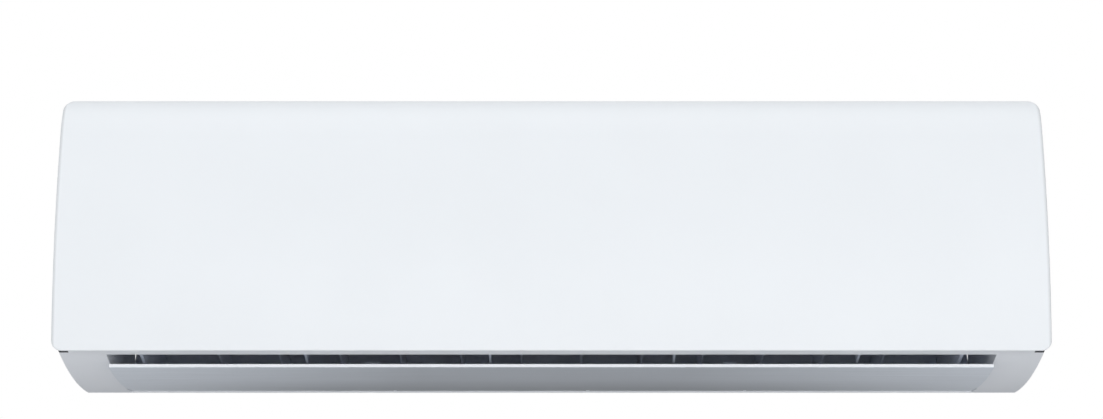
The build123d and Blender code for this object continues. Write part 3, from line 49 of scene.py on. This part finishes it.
# %% [markdown]
# ## A studio without walls
#
# The unit hangs free in a white room. A real backdrop would stand in the way when the unit is
# turned round, so the white is the world's own. It would burn out a pale case if it also lit
# it, so the world is two things at once: pure white to the rays that look, and a dimmer sky to
# the rays that light.
#
# A Light Path node tells the rays apart. Camera rays look straight out, and glossy and
# transmitted rays look by way of a mirror or a window. The larger of their flags is 1 for each.
# The cell starts with two small helpers, because sockets are joined on almost every line below.
# %% Rays that see white


def plug(tree, value, socket):
    """Links value to socket, or sets the socket where value is a plain number or colour."""
    if hasattr(value, "is_linked"):
        tree.links.new(value, socket)
    else:
        socket.default_value = value


def maths(tree, operation, *values):
    """One step of arithmetic on sockets or numbers."""
    node = tree.nodes.new("ShaderNodeMath")
    node.operation = operation
    for value, socket in zip(values, node.inputs):
        plug(tree, value, socket)
    return node.outputs[0]


world = bpy.data.worlds.new("studio")
bpy.context.scene.world = world
world.use_nodes = True
sky = world.node_tree
sky.nodes.clear()
ray = sky.nodes.new("ShaderNodeLightPath").outputs
mirrored = maths(sky, "MAXIMUM", ray["Is Glossy Ray"], ray["Is Transmission Ray"])
seen = maths(sky, "MAXIMUM", ray["Is Camera Ray"], mirrored)
print("white is shown to camera, glossy and transmission rays")

# %% [markdown]
# The dim sky is brighter overhead than below, as in a room with a darker floor. That slope is
# what makes the lip and the flap, which both face down, greyer than the upright panel. The
# world's Generated coordinate is the direction of the ray, so its Z says how far up it points.
# %% Light from above and below
SKY_LIGHT = 0.66
GROUND_LIGHT = 0.42
SKY_TINT = (0.96, 0.98, 1.0, 1.0)
GROUND_BELOW, SKY_ABOVE = -0.5, 0.4  # heights of the ray's direction


def along(tree, where):
    """The three coordinates, apart."""
    node = tree.nodes.new("ShaderNodeSeparateXYZ")
    tree.links.new(where, node.inputs[0])
    return node.outputs


def spread_over(tree, value, start, end, low, high):
    """A number that runs from low to high while value goes from start to end."""
    node = tree.nodes.new("ShaderNodeMapRange")
    numbers = {"From Min": start, "From Max": end, "To Min": low, "To Max": high}
    for socket, number in numbers.items():
        node.inputs[socket].default_value = number
    tree.links.new(value, node.inputs["Value"])
    return node.outputs[0]


heading = sky.nodes.new("ShaderNodeTexCoord").outputs["Generated"]
strength = spread_over(
    sky, along(sky, heading)["Z"], GROUND_BELOW, SKY_ABOVE, GROUND_LIGHT, SKY_LIGHT
)
dim = sky.nodes.new("ShaderNodeBackground")
plug(sky, SKY_TINT, dim.inputs["Color"])
plug(sky, strength, dim.inputs["Strength"])
print("light from the sky", SKY_LIGHT, "and from the ground", GROUND_LIGHT)

# %% [markdown]
# A Mix Shader takes the white where a ray looks and the dim sky where it lights.
# %% White and dim together
WHITE = (1.0, 1.0, 1.0, 1.0)


def mixed(tree, share, first, second):
    """The first shader where share is 0, the second where it is 1."""
    node = tree.nodes.new("ShaderNodeMixShader")
    for value, socket in zip((share, first, second), node.inputs):
        tree.links.new(value, socket)
    return node.outputs[0]


white = sky.nodes.new("ShaderNodeBackground")
plug(sky, WHITE, white.inputs["Color"])
plug(sky, 1.0, white.inputs["Strength"])
sky_out = sky.nodes.new("ShaderNodeOutputWorld")
plug(sky, mixed(sky, seen, dim.outputs[0], white.outputs[0]), sky_out.inputs["Surface"])
print("nodes in the world:", len(sky.nodes))

# %% [markdown]
# ## Lamps
#
# A sky alone leaves a rounded panel flat. Four large area lamps shape it: one overhead, one
# further back than the eye, and one from each side, low enough to reach the case's ends under
# the panel.
# Area lamps were chosen over point or sun lamps because their size keeps the shadows under the
# lip and in the slot soft. The left one is a little stronger, so the two ends aren't alike.
# %% Lamps
AIM = Vector((0.0, -0.1, 0.0))
LAMPS = (  # name, place, width and height in metres, power in watts
    ("lamp_over", (0.0, -1.6, 2.2), (2.6, 1.6), 9.0),
    ("lamp_front", (0.3, -2.7, 0.0), (2.4, 1.2), 13.0),
    ("lamp_left", (-2.4, -1.8, 0.05), (1.4, 1.8), 21.0),
    ("lamp_right", (2.4, -1.8, -0.1), (1.4, 1.8), 17.0),
)


def soft_lamp(name, place, size, power):
    """A rectangular area lamp at place, turned to the middle of the unit."""
    data = bpy.data.lights.new(name, "AREA")
    data.shape = "RECTANGLE"
    data.size, data.size_y = size
    data.energy = power
    lamp = bpy.data.objects.new(name, data)
    bpy.context.scene.collection.objects.link(lamp)
    lamp.location = place
    lamp.rotation_euler = (AIM - Vector(place)).to_track_quat("-Z", "Y").to_euler()


for lamp in LAMPS:
    soft_lamp(*lamp)
    print(lamp[0], "at", lamp[1], "with", lamp[3], "W")

# %% [markdown]
# ## Floor
#
# A unit on a wall has no floor close to it, but a view from above looks better with a plain
# pale ground than with nothing. The disc lies well below the unit, out of the main picture. A
# bmesh circle with its cap filled makes it in one step.
# %% Floor disc
FLOOR_Z = -0.42
FLOOR_R = 1.85
FLOOR_SIDES = 96
floor_mesh = bpy.data.meshes.new("floor")
made = bmesh.new()
bmesh.ops.create_circle(made, cap_ends=True, radius=FLOOR_R, segments=FLOOR_SIDES)
bmesh.ops.translate(made, verts=made.verts, vec=(0.0, 0.0, FLOOR_Z))
made.to_mesh(floor_mesh)
made.free()
floor = bpy.data.objects.new("floor", floor_mesh)
bpy.context.scene.collection.objects.link(floor)
print("floor of radius", FLOOR_R, "m at height", FLOOR_Z, "m")

# %% [markdown]
# The disc's paint is mostly its own light to the camera, so that it is pale without bouncing
# too much onto the unit, and matte grey to all other rays. Its rim must not show as a line
# against the white, so it fades out towards the edge by the length of the object coordinates.
# From underneath it is clear, which lets the underside of the unit be looked at too.
# %% Floor paint
FLOOR_GREY = (0.55, 0.55, 0.56, 1.0)
GLOW_SHARE = 0.8
FADE_START, FADE_END = 0.45, 0.99  # shares of the radius
floor_paint = bpy.data.materials.new("floor_paint")
floor_paint.use_nodes = True
tree = floor_paint.node_tree
tree.nodes.clear()
matte = tree.nodes.new("ShaderNodeBsdfDiffuse")
plug(tree, FLOOR_GREY, matte.inputs["Color"])
glow = tree.nodes.new("ShaderNodeEmission")
plug(tree, 1.0, glow.inputs["Strength"])
looking = tree.nodes.new("ShaderNodeLightPath").outputs["Is Camera Ray"]
lit = mixed(tree, maths(tree, "MULTIPLY", looking, GLOW_SHARE), matte.outputs[0], glow.outputs[0])
reach = tree.nodes.new("ShaderNodeVectorMath")
reach.operation = "LENGTH"
plug(tree, tree.nodes.new("ShaderNodeTexCoord").outputs["Object"], reach.inputs[0])
fading = spread_over(
    tree, reach.outputs["Value"], FADE_START * FLOOR_R, FADE_END * FLOOR_R, 0.0, 1.0
)
fading.node.interpolation_type = "SMOOTHSTEP"
underneath = tree.nodes.new("ShaderNodeNewGeometry").outputs["Backfacing"]
gone = maths(tree, "MAXIMUM", underneath, fading)
clear = tree.nodes.new("ShaderNodeBsdfTransparent")
floor_out = tree.nodes.new("ShaderNodeOutputMaterial")
plug(tree, mixed(tree, gone, lit, clear.outputs[0]), floor_out.inputs["Surface"])
floor_mesh.materials.append(floor_paint)
print("the floor fades between", FADE_START, "and", FADE_END, "of its radius")

# %% [markdown]
# ## Moulded plastic
#
# Nearly everything that shows is injection-moulded. Such a surface is never one flat colour: the
# pigment clouds a little, a polished tool leaves a faint orange peel, and an etched tool leaves
# a fine grain. A photograph of plastic could be wrapped round each piece, but it would need a
# flat layout of every solid. Noise read on the object's own coordinates needs none, has no
# seams, and stays with the piece when it moves.
#
# A finish starts from an empty material. Blender's noise takes a scale, which is lumps to the
# metre, so the helper turns a size in millimetres into one. A stretch draws the lumps out.
# %% An empty finish and its noise


def finish_of(name):
    """An empty material: itself, its tree, its shader and the object coordinates."""
    material = bpy.data.materials.new(name)
    material.use_nodes = True
    tree = material.node_tree
    shader = tree.nodes["Principled BSDF"]
    where = tree.nodes.new("ShaderNodeTexCoord").outputs["Object"]
    return material, tree, shader, where


def noise(tree, where, size_mm, detail=2.0, stretch=None):
    """Noise whose lumps are about size_mm across, optionally stretched along an axis."""
    field = tree.nodes.new("ShaderNodeTexNoise")
    field.inputs["Scale"].default_value = 1.0 / (size_mm * MM)
    field.inputs["Detail"].default_value = detail
    if stretch:
        mapping = tree.nodes.new("ShaderNodeMapping")
        mapping.inputs["Scale"].default_value = stretch
        tree.links.new(where, mapping.inputs["Vector"])
        where = mapping.outputs["Vector"]
    tree.links.new(where, field.inputs["Vector"])
    return field.outputs["Fac"]


CLOUD_MM = 90.0
print("clouds of", CLOUD_MM, "mm need a noise scale of", round(1.0 / (CLOUD_MM * MM), 1))

# %% [markdown]
# Noise is only a number from 0 to 1. A colour ramp turns it into a tint or into a gloss. Most of
# the noise lies near its middle, so the ramp starts at 0.3 and ends at 0.7, or else little of it
# would show. Blending lays one tint over another, as shade or as paint.
# %% Tints


def ramp(tree, value, low, high, start=0.3, end=0.7):
    """Colour or grey that runs from low to high while value goes from start to end."""
    node = tree.nodes.new("ShaderNodeValToRGB")
    first, last = node.color_ramp.elements
    first.position, last.position = start, end
    first.color, last.color = (*low, 1.0), (*high, 1.0)
    tree.links.new(value, node.inputs["Fac"])
    return node.outputs["Color"]


def grey(level):
    """A colour with no hue, for a gloss or a mask."""
    return (level, level, level)


def shade(colour, factor):
    """The colour made lighter or darker."""
    return tuple(min(1.0, channel * factor) for channel in colour)


def blend(tree, share, first, second, mode="MIX"):
    """Two colours mixed by a share; a socket of numbers may stand for a colour."""
    node = tree.nodes.new("ShaderNodeMix")
    node.data_type = "RGBA"
    node.blend_type = mode
    for value, socket in ((share, 0), (first, 6), (second, 7)):  # a Mix node's colour sockets
        plug(tree, value, node.inputs[socket])
    return node.outputs[2]


PANEL_WHITE = (0.80, 0.825, 0.85)
print("the panel's white, a tenth darker:", [round(c, 3) for c in shade(PANEL_WHITE, 0.9)])

# %% [markdown]
# Grain is too fine to model, so a bump tilts the light instead of the surface. The solids also
# have sharp edges where a real moulding has radii of half a millimetre. Bevelling every mesh
# would change the solids, so a Bevel node rounds the normals only, and the bump is laid on them.
# %% Relief
EDGE_SAMPLES = 6


def soft_edges(tree, radius_mm):
    """Normals that turn softly over every edge, as a moulding's small radii do."""
    node = tree.nodes.new("ShaderNodeBevel")
    node.samples = EDGE_SAMPLES
    node.inputs["Radius"].default_value = radius_mm * MM
    return node.outputs["Normal"]


def bump(tree, shader, height, depth_mm, after=None):
    """Bump of depth_mm from a height field, laid over earlier normals if there are any."""
    node = tree.nodes.new("ShaderNodeBump")
    node.inputs["Strength"].default_value = 1.0
    node.inputs["Distance"].default_value = depth_mm * MM
    tree.links.new(height, node.inputs["Height"])
    if after:
        tree.links.new(after, node.inputs["Normal"])
    tree.links.new(node.outputs["Normal"], shader.inputs["Normal"])


print("edges are rounded from", EDGE_SAMPLES, "samples each")

# %% [markdown]
# With these, one recipe covers every moulded piece. Its tint clouds over a hand's width, its gloss
# changes over a finger's width, and its relief is the tool's. Only the numbers differ from piece
# to piece.
# %% The recipe for a moulding
GLOSS_PATCH_MM = 18.0
PLASTIC_IOR = 1.5


def moulded(name, colour, rough, grain_mm, depth_mm, cloud=0.02, spread=0.04, edge_mm=0.6):
    """Moulded plastic: clouded pigment, uneven gloss and an etched or orange-peel surface."""
    material, tree, shader, where = finish_of(name)
    clouds = noise(tree, where, CLOUD_MM, detail=1.0)
    tint = ramp(tree, clouds, shade(colour, 1.0 - cloud), shade(colour, 1.0 + cloud))
    tree.links.new(tint, shader.inputs["Base Color"])
    patches = noise(tree, where, GLOSS_PATCH_MM)
    gloss = ramp(tree, patches, grey(rough - spread), grey(rough + spread))
    tree.links.new(gloss, shader.inputs["Roughness"])
    rounded = soft_edges(tree, edge_mm)
    bump(tree, shader, noise(tree, where, grain_mm), depth_mm, after=rounded)
    shader.inputs["IOR"].default_value = PLASTIC_IOR
    return material


def opened(material):
    """A finish made earlier: its tree, its shader, its object coordinates and its tint."""
    tree = material.node_tree
    shader = tree.nodes["Principled BSDF"]
    where = tree.nodes["Texture Coordinate"].outputs["Object"]
    tint = shader.inputs["Base Color"].links[0].from_socket
    return tree, shader, where, tint


print("plastic bends light by", PLASTIC_IOR)

# %% [markdown]
# ## The front panel
#
# The panel is one large polished sheet, and its gloss gives the unit its face. A polished tool
# leaves wide, shallow orange peel, so its lumps are 9 mm across and only microns deep. Clouds
# are kept very faint, because on so large a pale face they would read as dirt. A thin coat adds
# the hard glint.
#
# Along its two side edges the sheet turns away and shows as a thin grey line. The turn is only
# two or three millimetres wide, so it is helped by a painted shade that follows the distance
# from the panel's middle.
# %% Panel
PANEL_COAT = 0.06
TURN_FROM_MM, TURN_TO_MM = 3.0, 1.2  # distances from the panel's side edges
TURN_SHADE = 0.80
panel_mesh = nodes["front_panel"].data
panel_half = max(corner.co.x for corner in panel_mesh.vertices)
panel_low = min(corner.co.z for corner in panel_mesh.vertices)
panel_gloss = moulded(
    "panel_gloss",
    PANEL_WHITE,
    rough=0.36,
    grain_mm=9.0,
    depth_mm=0.004,
    cloud=0.006,
    spread=0.02,
    edge_mm=2.2,
)
tree, shader, where, tint = opened(panel_gloss)
shader.inputs["Coat Weight"].default_value = PANEL_COAT
from_middle = maths(tree, "ABSOLUTE", along(tree, where)["X"])
turn_start = panel_half - TURN_FROM_MM * MM
turn_end = panel_half - TURN_TO_MM * MM
# Painted shade that darkens the tint towards the side edges.
painted_edge_shade = spread_over(tree, from_middle, turn_start, turn_end, 1.0, TURN_SHADE)
tree.links.new(blend(tree, 1.0, tint, painted_edge_shade, "MULTIPLY"), shader.inputs["Base Color"])
print("panel", round(2.0 * panel_half / MM, 1), "mm wide, lower edge at", round(panel_low / MM, 1))

# %% [markdown]
# ## The casing, and the chinks under the panel's corners
#
# The casing behind the panel is etched, so its grain is fine and dull. Each rounded lower corner
# of the panel leaves a short dark chink over it, where the casing's moulding steps back. A notch
# could be cut in the solid, but the chink is all shade and next to no shape, so it is painted:
# four soft masks are multiplied, for its inner end, its front, its top and its foot, and where
# all four are 1 the tint turns to black. It is placed from the panel's own corner.
# %% Casing
CASE_WHITE = (0.83, 0.855, 0.89)
CHINK_BLACK = (0.02, 0.02, 0.025, 1.0)
CHINK_LONG_MM = 11.5
CHINK_OVER_MM, CHINK_UNDER_MM = 0.5, 3.5  # from the panel's lower edge
CHINK_DEPTH_Y = -0.150
SOFT_X, SOFT_Y, SOFT_Z = 0.6 * MM, 2.0 * MM, 0.4 * MM  # how softly the chink ends
case_grain = moulded("case_grain", CASE_WHITE, rough=0.46, grain_mm=0.7, depth_mm=0.012)
tree, shader, where, tint = opened(case_grain)
x, y, z = along(tree, where)
chink_from = panel_half - CHINK_LONG_MM * MM
chink_low = panel_low - CHINK_UNDER_MM * MM
chink_high = panel_low + CHINK_OVER_MM * MM
outside = spread_over(
    tree, maths(tree, "ABSOLUTE", x), chink_from, chink_from + SOFT_X, 0.0, 1.0
)
in_front = spread_over(tree, y, CHINK_DEPTH_Y, CHINK_DEPTH_Y - SOFT_Y, 0.0, 1.0)
above = spread_over(tree, z, chink_low, chink_low + SOFT_Z, 0.0, 1.0)
below = spread_over(tree, z, chink_high, chink_high + SOFT_Z, 1.0, 0.0)
across = maths(tree, "MULTIPLY", outside, in_front)
upward = maths(tree, "MULTIPLY", above, below)
chink = maths(tree, "MULTIPLY", across, upward)
tree.links.new(blend(tree, chink, tint, CHINK_BLACK), shader.inputs["Base Color"])
print("chinks", CHINK_LONG_MM, "mm long and", CHINK_OVER_MM + CHINK_UNDER_MM, "mm high")

# %% [markdown]
# ## Plastics of the air path
#
# The duct with its drip tray, the vanes and the chassis carry the air and are hardly seen. The
# duct and the vanes are a pale bluish grey, which the slot's shade turns dark, and the chassis is
# a plain grey. All are etched, so that nothing in there glints. The rotor is near black, as such
# fans usually are, and the filters' frames are a dark blue.
# %% Air path
chassis_grey = moulded("chassis_grey", (0.50, 0.52, 0.54), rough=0.55, grain_mm=0.9, depth_mm=0.02)
duct_grey = moulded("duct_grey", (0.74, 0.80, 0.93), rough=0.50, grain_mm=0.9, depth_mm=0.015)
vane_grey = moulded("vane_grey", (0.74, 0.80, 0.94), rough=0.42, grain_mm=1.2, depth_mm=0.01)
fan_black = moulded("fan_black", (0.03, 0.031, 0.034), rough=0.40, grain_mm=1.0, depth_mm=0.01)
filter_frame = moulded(
    "filter_frame", (0.10, 0.16, 0.24), rough=0.45, grain_mm=1.0, depth_mm=0.01
)
air_path = (chassis_grey, duct_grey, vane_grey, fan_black, filter_frame)
print("air path:", [material.name for material in air_path])

# %% [markdown]
# ## Small plastics, rubber and foam
#
# The electrical box is a dull white, the terminals are black, and the flap's shaft and bush are
# acetal, which is milky and slippery, so it shines more. The drain hose has yellowed a little.
# Rubber is nearly black and hardly shines. Foam has a bump half a millimetre deep, which is
# enough to make it look open-celled.
# %% Small plastics, rubber and foam
box_white = moulded("box_white", (0.66, 0.66, 0.63), rough=0.52, grain_mm=0.9, depth_mm=0.02)
terminal_black = moulded(
    "terminal_black", (0.025, 0.025, 0.027), rough=0.45, grain_mm=0.8, depth_mm=0.02
)
acetal_white = moulded("acetal_white", (0.74, 0.74, 0.70), rough=0.38, grain_mm=2.0, depth_mm=0.006)
button_grey = moulded("button_grey", (0.30, 0.32, 0.35), rough=0.40, grain_mm=1.0, depth_mm=0.008)
hose_ivory = moulded("hose_ivory", (0.62, 0.60, 0.53), rough=0.45, grain_mm=1.5, depth_mm=0.02)
rubber_black = moulded(
    "rubber_black", (0.022, 0.022, 0.022), rough=0.75, grain_mm=0.5, depth_mm=0.03, cloud=0.08
)
foam_grey = moulded(
    "foam_grey", (0.045, 0.045, 0.048), rough=0.9, grain_mm=1.6, depth_mm=0.5, cloud=0.15
)
small = (box_white, terminal_black, acetal_white, button_grey, hose_ivory, rubber_black, foam_grey)
print("small pieces:", [material.name for material in small])

# %% [markdown]
# ## The flap
#
# The flap's face is satin and greyer than the casing. It was rubbed along its length, so its
# noise is stretched almost to lines along X. A painted reflection darkens its middle and lightens
# its ends, and a painted shade darkens its lower edge, more in the middle than at the ends. Each
# of these is a slow change along one axis, so each is a range read off one coordinate and
# multiplied into the tint.
# %% Flap's face
FLAP_GREY = (0.63, 0.67, 0.72)
STREAK_MM = 1.6
STREAK_STRETCH = (0.015, 1.0, 1.0)
STREAK_DARK, STREAK_LIGHT = 0.95, 1.05
MIDDLE_SHARE, MIDDLE_REFLECTION, END_REFLECTION = 0.3, 0.74, 1.15
LOW_SHADE, LOW_SHADE_MM, LOW_SHADE_SHARE = 0.62, 18.0, 0.5
flap_mesh = nodes["louvre_flap"].data
flap_top = max(corner.co.z for corner in flap_mesh.vertices)
flap_low = min(corner.co.z for corner in flap_mesh.vertices)
flap_end = max(corner.co.x for corner in flap_mesh.vertices)
flap_satin, tree, shader, where = finish_of("flap_satin")
x, _, z = along(tree, where)
from_middle = maths(tree, "ABSOLUTE", x)
rubbed = noise(tree, where, STREAK_MM, detail=3.0, stretch=STREAK_STRETCH)
streaks = ramp(tree, rubbed, shade(FLAP_GREY, STREAK_DARK), shade(FLAP_GREY, STREAK_LIGHT))
# Painted reflection: the middle of the flap darker, its ends lighter.
painted_reflection = spread_over(tree, from_middle, MIDDLE_SHARE * flap_end, flap_end, MIDDLE_REFLECTION, END_REFLECTION)
face = blend(tree, 1.0, streaks, painted_reflection, "MULTIPLY")
# Painted shade along the lower edge, more in the middle than at the ends.
low_shade = spread_over(tree, z, flap_low, flap_low + LOW_SHADE_MM * MM, LOW_SHADE, 1.0)
shaded = blend(tree, 1.0, face, low_shade, "MULTIPLY")
inward = spread_over(tree, from_middle, flap_end, LOW_SHADE_SHARE * flap_end, 0.0, 1.0)
face = blend(tree, inward, face, shaded)
print("flap's face from", round(flap_low / MM, 1), "to", round(flap_top / MM, 1), "mm")

# %% [markdown]
# Its upper edge catches the room as a white line, which is the strongest line in the picture. That
# highlight is painted: the top three millimetres of the same solid turn white, picked out by
# height. All of this reads the flap's own coordinates, so it turns with the flap.
# %% Flap's painted highlight and gloss
RIM_HIGHLIGHT = (0.95, 0.97, 1.0, 1.0)
RIM_MM, RIM_SOFT_MM = 3.0, 0.3
FLAP_EDGE_MM = 0.8
STREAK_DEPTH_MM = 0.01
SATIN_LOW, SATIN_HIGH = 0.34, 0.44
rim_low = flap_top - RIM_MM * MM
# Painted highlight: white over the top of the flap's upper edge.
painted_rim_highlight = spread_over(tree, z, rim_low, rim_low + RIM_SOFT_MM * MM, 0.0, 1.0)
tree.links.new(blend(tree, painted_rim_highlight, face, RIM_HIGHLIGHT), shader.inputs["Base Color"])
satin = ramp(tree, rubbed, grey(SATIN_LOW), grey(SATIN_HIGH))
tree.links.new(satin, shader.inputs["Roughness"])
bump(tree, shader, rubbed, STREAK_DEPTH_MM, after=soft_edges(tree, FLAP_EDGE_MM))
print("flap's bright edge starts at", round(rim_low / MM, 1), "mm in its own frame")

# %% [markdown]
# ## Bare metals
#
# A turned shaft shows rings, and drawn copper darkens unevenly along the tube. Both are one
# recipe: large patches change the colour, and a fine noise, stretched along or across the
# piece, changes the gloss and scratches the surface.
# %% Turned and drawn metals
SCRATCH_MM = 0.6
SCRATCH_DEPTH_MM = 0.004
SMOOTHER, ROUGHER = 0.07, 0.09  # how far the scratches change the gloss


def metal(name, low, high, rough, patch_mm, stretch=None):
    """Bare metal whose colour and gloss change from patch to patch."""
    material, tree, shader, where = finish_of(name)
    patches = noise(tree, where, patch_mm, detail=4.0)
    tree.links.new(ramp(tree, patches, low, high), shader.inputs["Base Color"])
    shader.inputs["Metallic"].default_value = 1.0
    lines = noise(tree, where, SCRATCH_MM, stretch=stretch)
    gloss = ramp(tree, lines, grey(rough - SMOOTHER), grey(rough + ROUGHER))
    tree.links.new(gloss, shader.inputs["Roughness"])
    bump(tree, shader, lines, SCRATCH_DEPTH_MM)
    return material


turned_steel = metal(
    "turned_steel", (0.50, 0.51, 0.52), (0.66, 0.67, 0.68), 0.28, 12.0, stretch=(8.0, 1.0, 1.0)
)
motor_steel = metal("motor_steel", (0.42, 0.43, 0.45), (0.55, 0.56, 0.58), 0.38, 9.0)
bronze_bush = metal("bronze_bush", (0.40, 0.25, 0.10), (0.55, 0.36, 0.16), 0.34, 4.0)
copper_tube = metal(
    "copper_tube", (0.56, 0.24, 0.12), (0.80, 0.42, 0.26), 0.30, 22.0, stretch=(0.1, 1.0, 1.0)
)
brass_nut = metal("brass_nut", (0.58, 0.42, 0.17), (0.72, 0.55, 0.26), 0.30, 6.0)
metals = (turned_steel, motor_steel, bronze_bush, copper_tube, brass_nut)
print("metals:", [material.name for material in metals])

# %% [markdown]
# Zinc-coated sheet is different: the zinc freezes into flat crystals, called spangles, and each
# one reflects a little differently. Noise would blur them together. A Voronoi texture gives
# cells with straight borders, and its random colour for each cell sets that spangle's tint and
# gloss.
# %% Zinc-coated sheet
SPANGLE_MM = 7.0
SPANGLE_SMOOTH, SPANGLE_ROUGH = 0.30, 0.46
DENT_MM, DENT_DEPTH_MM = 3.0, 0.01


def spangled(name, low, high, spangle_mm):
    """Zinc-coated sheet: flat crystals that each catch the light a little differently."""
    material, tree, shader, where = finish_of(name)
    cells = tree.nodes.new("ShaderNodeTexVoronoi")
    cells.inputs["Scale"].default_value = 1.0 / (spangle_mm * MM)
    tree.links.new(where, cells.inputs["Vector"])
    tone = tree.nodes.new("ShaderNodeSeparateColor")
    tree.links.new(cells.outputs["Color"], tone.inputs["Color"])
    tint = ramp(tree, tone.outputs[0], low, high, start=0.0, end=1.0)
    tree.links.new(tint, shader.inputs["Base Color"])
    dull, bright = grey(SPANGLE_ROUGH), grey(SPANGLE_SMOOTH)
    gloss = ramp(tree, tone.outputs[1], bright, dull, start=0.0, end=1.0)
    tree.links.new(gloss, shader.inputs["Roughness"])
    shader.inputs["Metallic"].default_value = 1.0
    bump(tree, shader, noise(tree, where, DENT_MM), DENT_DEPTH_MM)
    return material


zinc_sheet = spangled("zinc_sheet", (0.52, 0.54, 0.56), (0.70, 0.72, 0.74), SPANGLE_MM)
print("spangles about", SPANGLE_MM, "mm across")

# %% [markdown]
# ## Fins and net
#
# The evaporator is a stack of thin fins across X, less than two millimetres apart, and the
# filter's net is finer still. Hundreds of real fins would cost a great many triangles for a
# piece that is seen only through a grille, so each stack is one solid and a wave texture draws
# the fins: it bands the tint, with painted shade in the gaps, and drives a bump. A triangle wave
# was chosen over a sine because a fin has flat sides. The same recipe draws the net, of which
# only the upright threads are drawn, with painted shade between them.
# %% Fins and net
WAVES_PER_UNIT = math.tau / 20.0  # a band texture of scale 1 repeats every tau / 20
GAP_END, CREST_START = 0.1, 0.5  # heights of the wave


def striped(name, colour, gap_shade, pitch_mm, rough, metallic, depth_mm):
    """Fine parallel ribs at a pitch along X."""
    material, tree, shader, where = finish_of(name)
    wave = tree.nodes.new("ShaderNodeTexWave")
    wave.wave_type = "BANDS"
    wave.bands_direction = "X"
    wave.wave_profile = "TRI"
    wave.inputs["Scale"].default_value = WAVES_PER_UNIT / (pitch_mm * MM)
    wave.inputs["Distortion"].default_value = 0.0
    tree.links.new(where, wave.inputs["Vector"])
    # The gap colour is painted shade between the ribs.
    tint = ramp(tree, wave.outputs["Fac"], gap_shade, colour, start=GAP_END, end=CREST_START)
    tree.links.new(tint, shader.inputs["Base Color"])
    shader.inputs["Metallic"].default_value = metallic
    shader.inputs["Roughness"].default_value = rough
    bump(tree, shader, wave.outputs["Fac"], depth_mm)
    return material


FIN_PITCH_MM, NET_PITCH_MM = 1.8, 1.2
FIN_TINT, FIN_GAP_SHADE = (0.36, 0.52, 0.62), (0.04, 0.06, 0.08)
NET_TINT, NET_GAP_SHADE = (0.12, 0.15, 0.19), (0.02, 0.025, 0.03)
fin_blue = striped(
    "fin_blue", FIN_TINT, FIN_GAP_SHADE, FIN_PITCH_MM, rough=0.42, metallic=0.9, depth_mm=0.4
)
net_cloth = striped(
    "net_cloth", NET_TINT, NET_GAP_SHADE, NET_PITCH_MM, rough=0.7, metallic=0.0, depth_mm=0.2
)
print("fins every", FIN_PITCH_MM, "mm, threads every", NET_PITCH_MM, "mm")

# %% [markdown]
# ## Boards and window
#
# The boards are green laminate under solder resist, which pools unevenly, so its clouds are
# strong. The display window is smoked and nearly polished, dark enough to hide the board.
# %% Boards and window
board_green = moulded(
    "board_green", (0.02, 0.16, 0.075), rough=0.32, grain_mm=3.0, depth_mm=0.01, cloud=0.12
)
window_smoke = moulded(
    "window_smoke", (0.035, 0.04, 0.05), rough=0.12, grain_mm=8.0, depth_mm=0.002
)
print("boards and window:", board_green.name, window_smoke.name)

# %% [markdown]
# ## Who wears what
#
# One table says which pieces wear each finish, so a finish can be changed for all its pieces in
# one place. The vanes and their link bars are many and share a finish, so they are found by the
# start of their names. The cell counts the dressed pieces, because a piece that was forgotten
# would only show as plain grey somewhere inside.
# %% Dress the solids
WEAR = {
    panel_gloss: ["front_panel"],
    case_grain: ["front_case"],
    flap_satin: ["louvre_flap"],
    chassis_grey: ["rear_chassis"],
    duct_grey: ["outlet_duct", "filter_rails"],
    vane_grey: [name for name in nodes if name.startswith("vane_")] + ["flap_brackets"],
    fan_black: ["fan_rotor"],
    box_white: ["electrical_box"],
    terminal_black: ["terminal_block", "cord_clamp", "temperature_sensors"],
    acetal_white: ["flap_motor_shaft", "flap_bush"],
    filter_frame: ["air_filter_left", "air_filter_right"],
    net_cloth: ["filter_mesh_left", "filter_mesh_right"],
    button_grey: ["manual_button"],
    hose_ivory: ["drain_hose"],
    rubber_black: ["drain_plug", "bearing_seat", "motor_rubbers"],
    foam_grey: ["pipe_insulation"],
    zinc_sheet: [
        "mounting_plate",
        "coil_plate_left",
        "coil_plate_right",
        "pipe_clamp",
        "wiring_cover",
        "electrical_cover",
    ],
    turned_steel: ["fan_stub_shaft", "fan_motor_shaft", "case_screws"],
    motor_steel: ["fan_motor", "flap_motor"],
    bronze_bush: ["fan_bearing"],
    copper_tube: ["coil_tubes", "suction_pipe", "liquid_pipe"],
    brass_nut: ["flare_nuts"],
    fin_blue: ["coil_front", "coil_upper", "coil_rear"],
    board_green: ["control_board", "display_board"],
    window_smoke: ["display_window"],
}
for material, wearers in WEAR.items():
    for name in wearers:
        nodes[name].data.materials.clear()
        nodes[name].data.materials.append(material)
dressed = {name for wearers in WEAR.values() for name in wearers}
print("dressed", len(dressed), "of", len(nodes), "missing", sorted(set(nodes) - dressed))
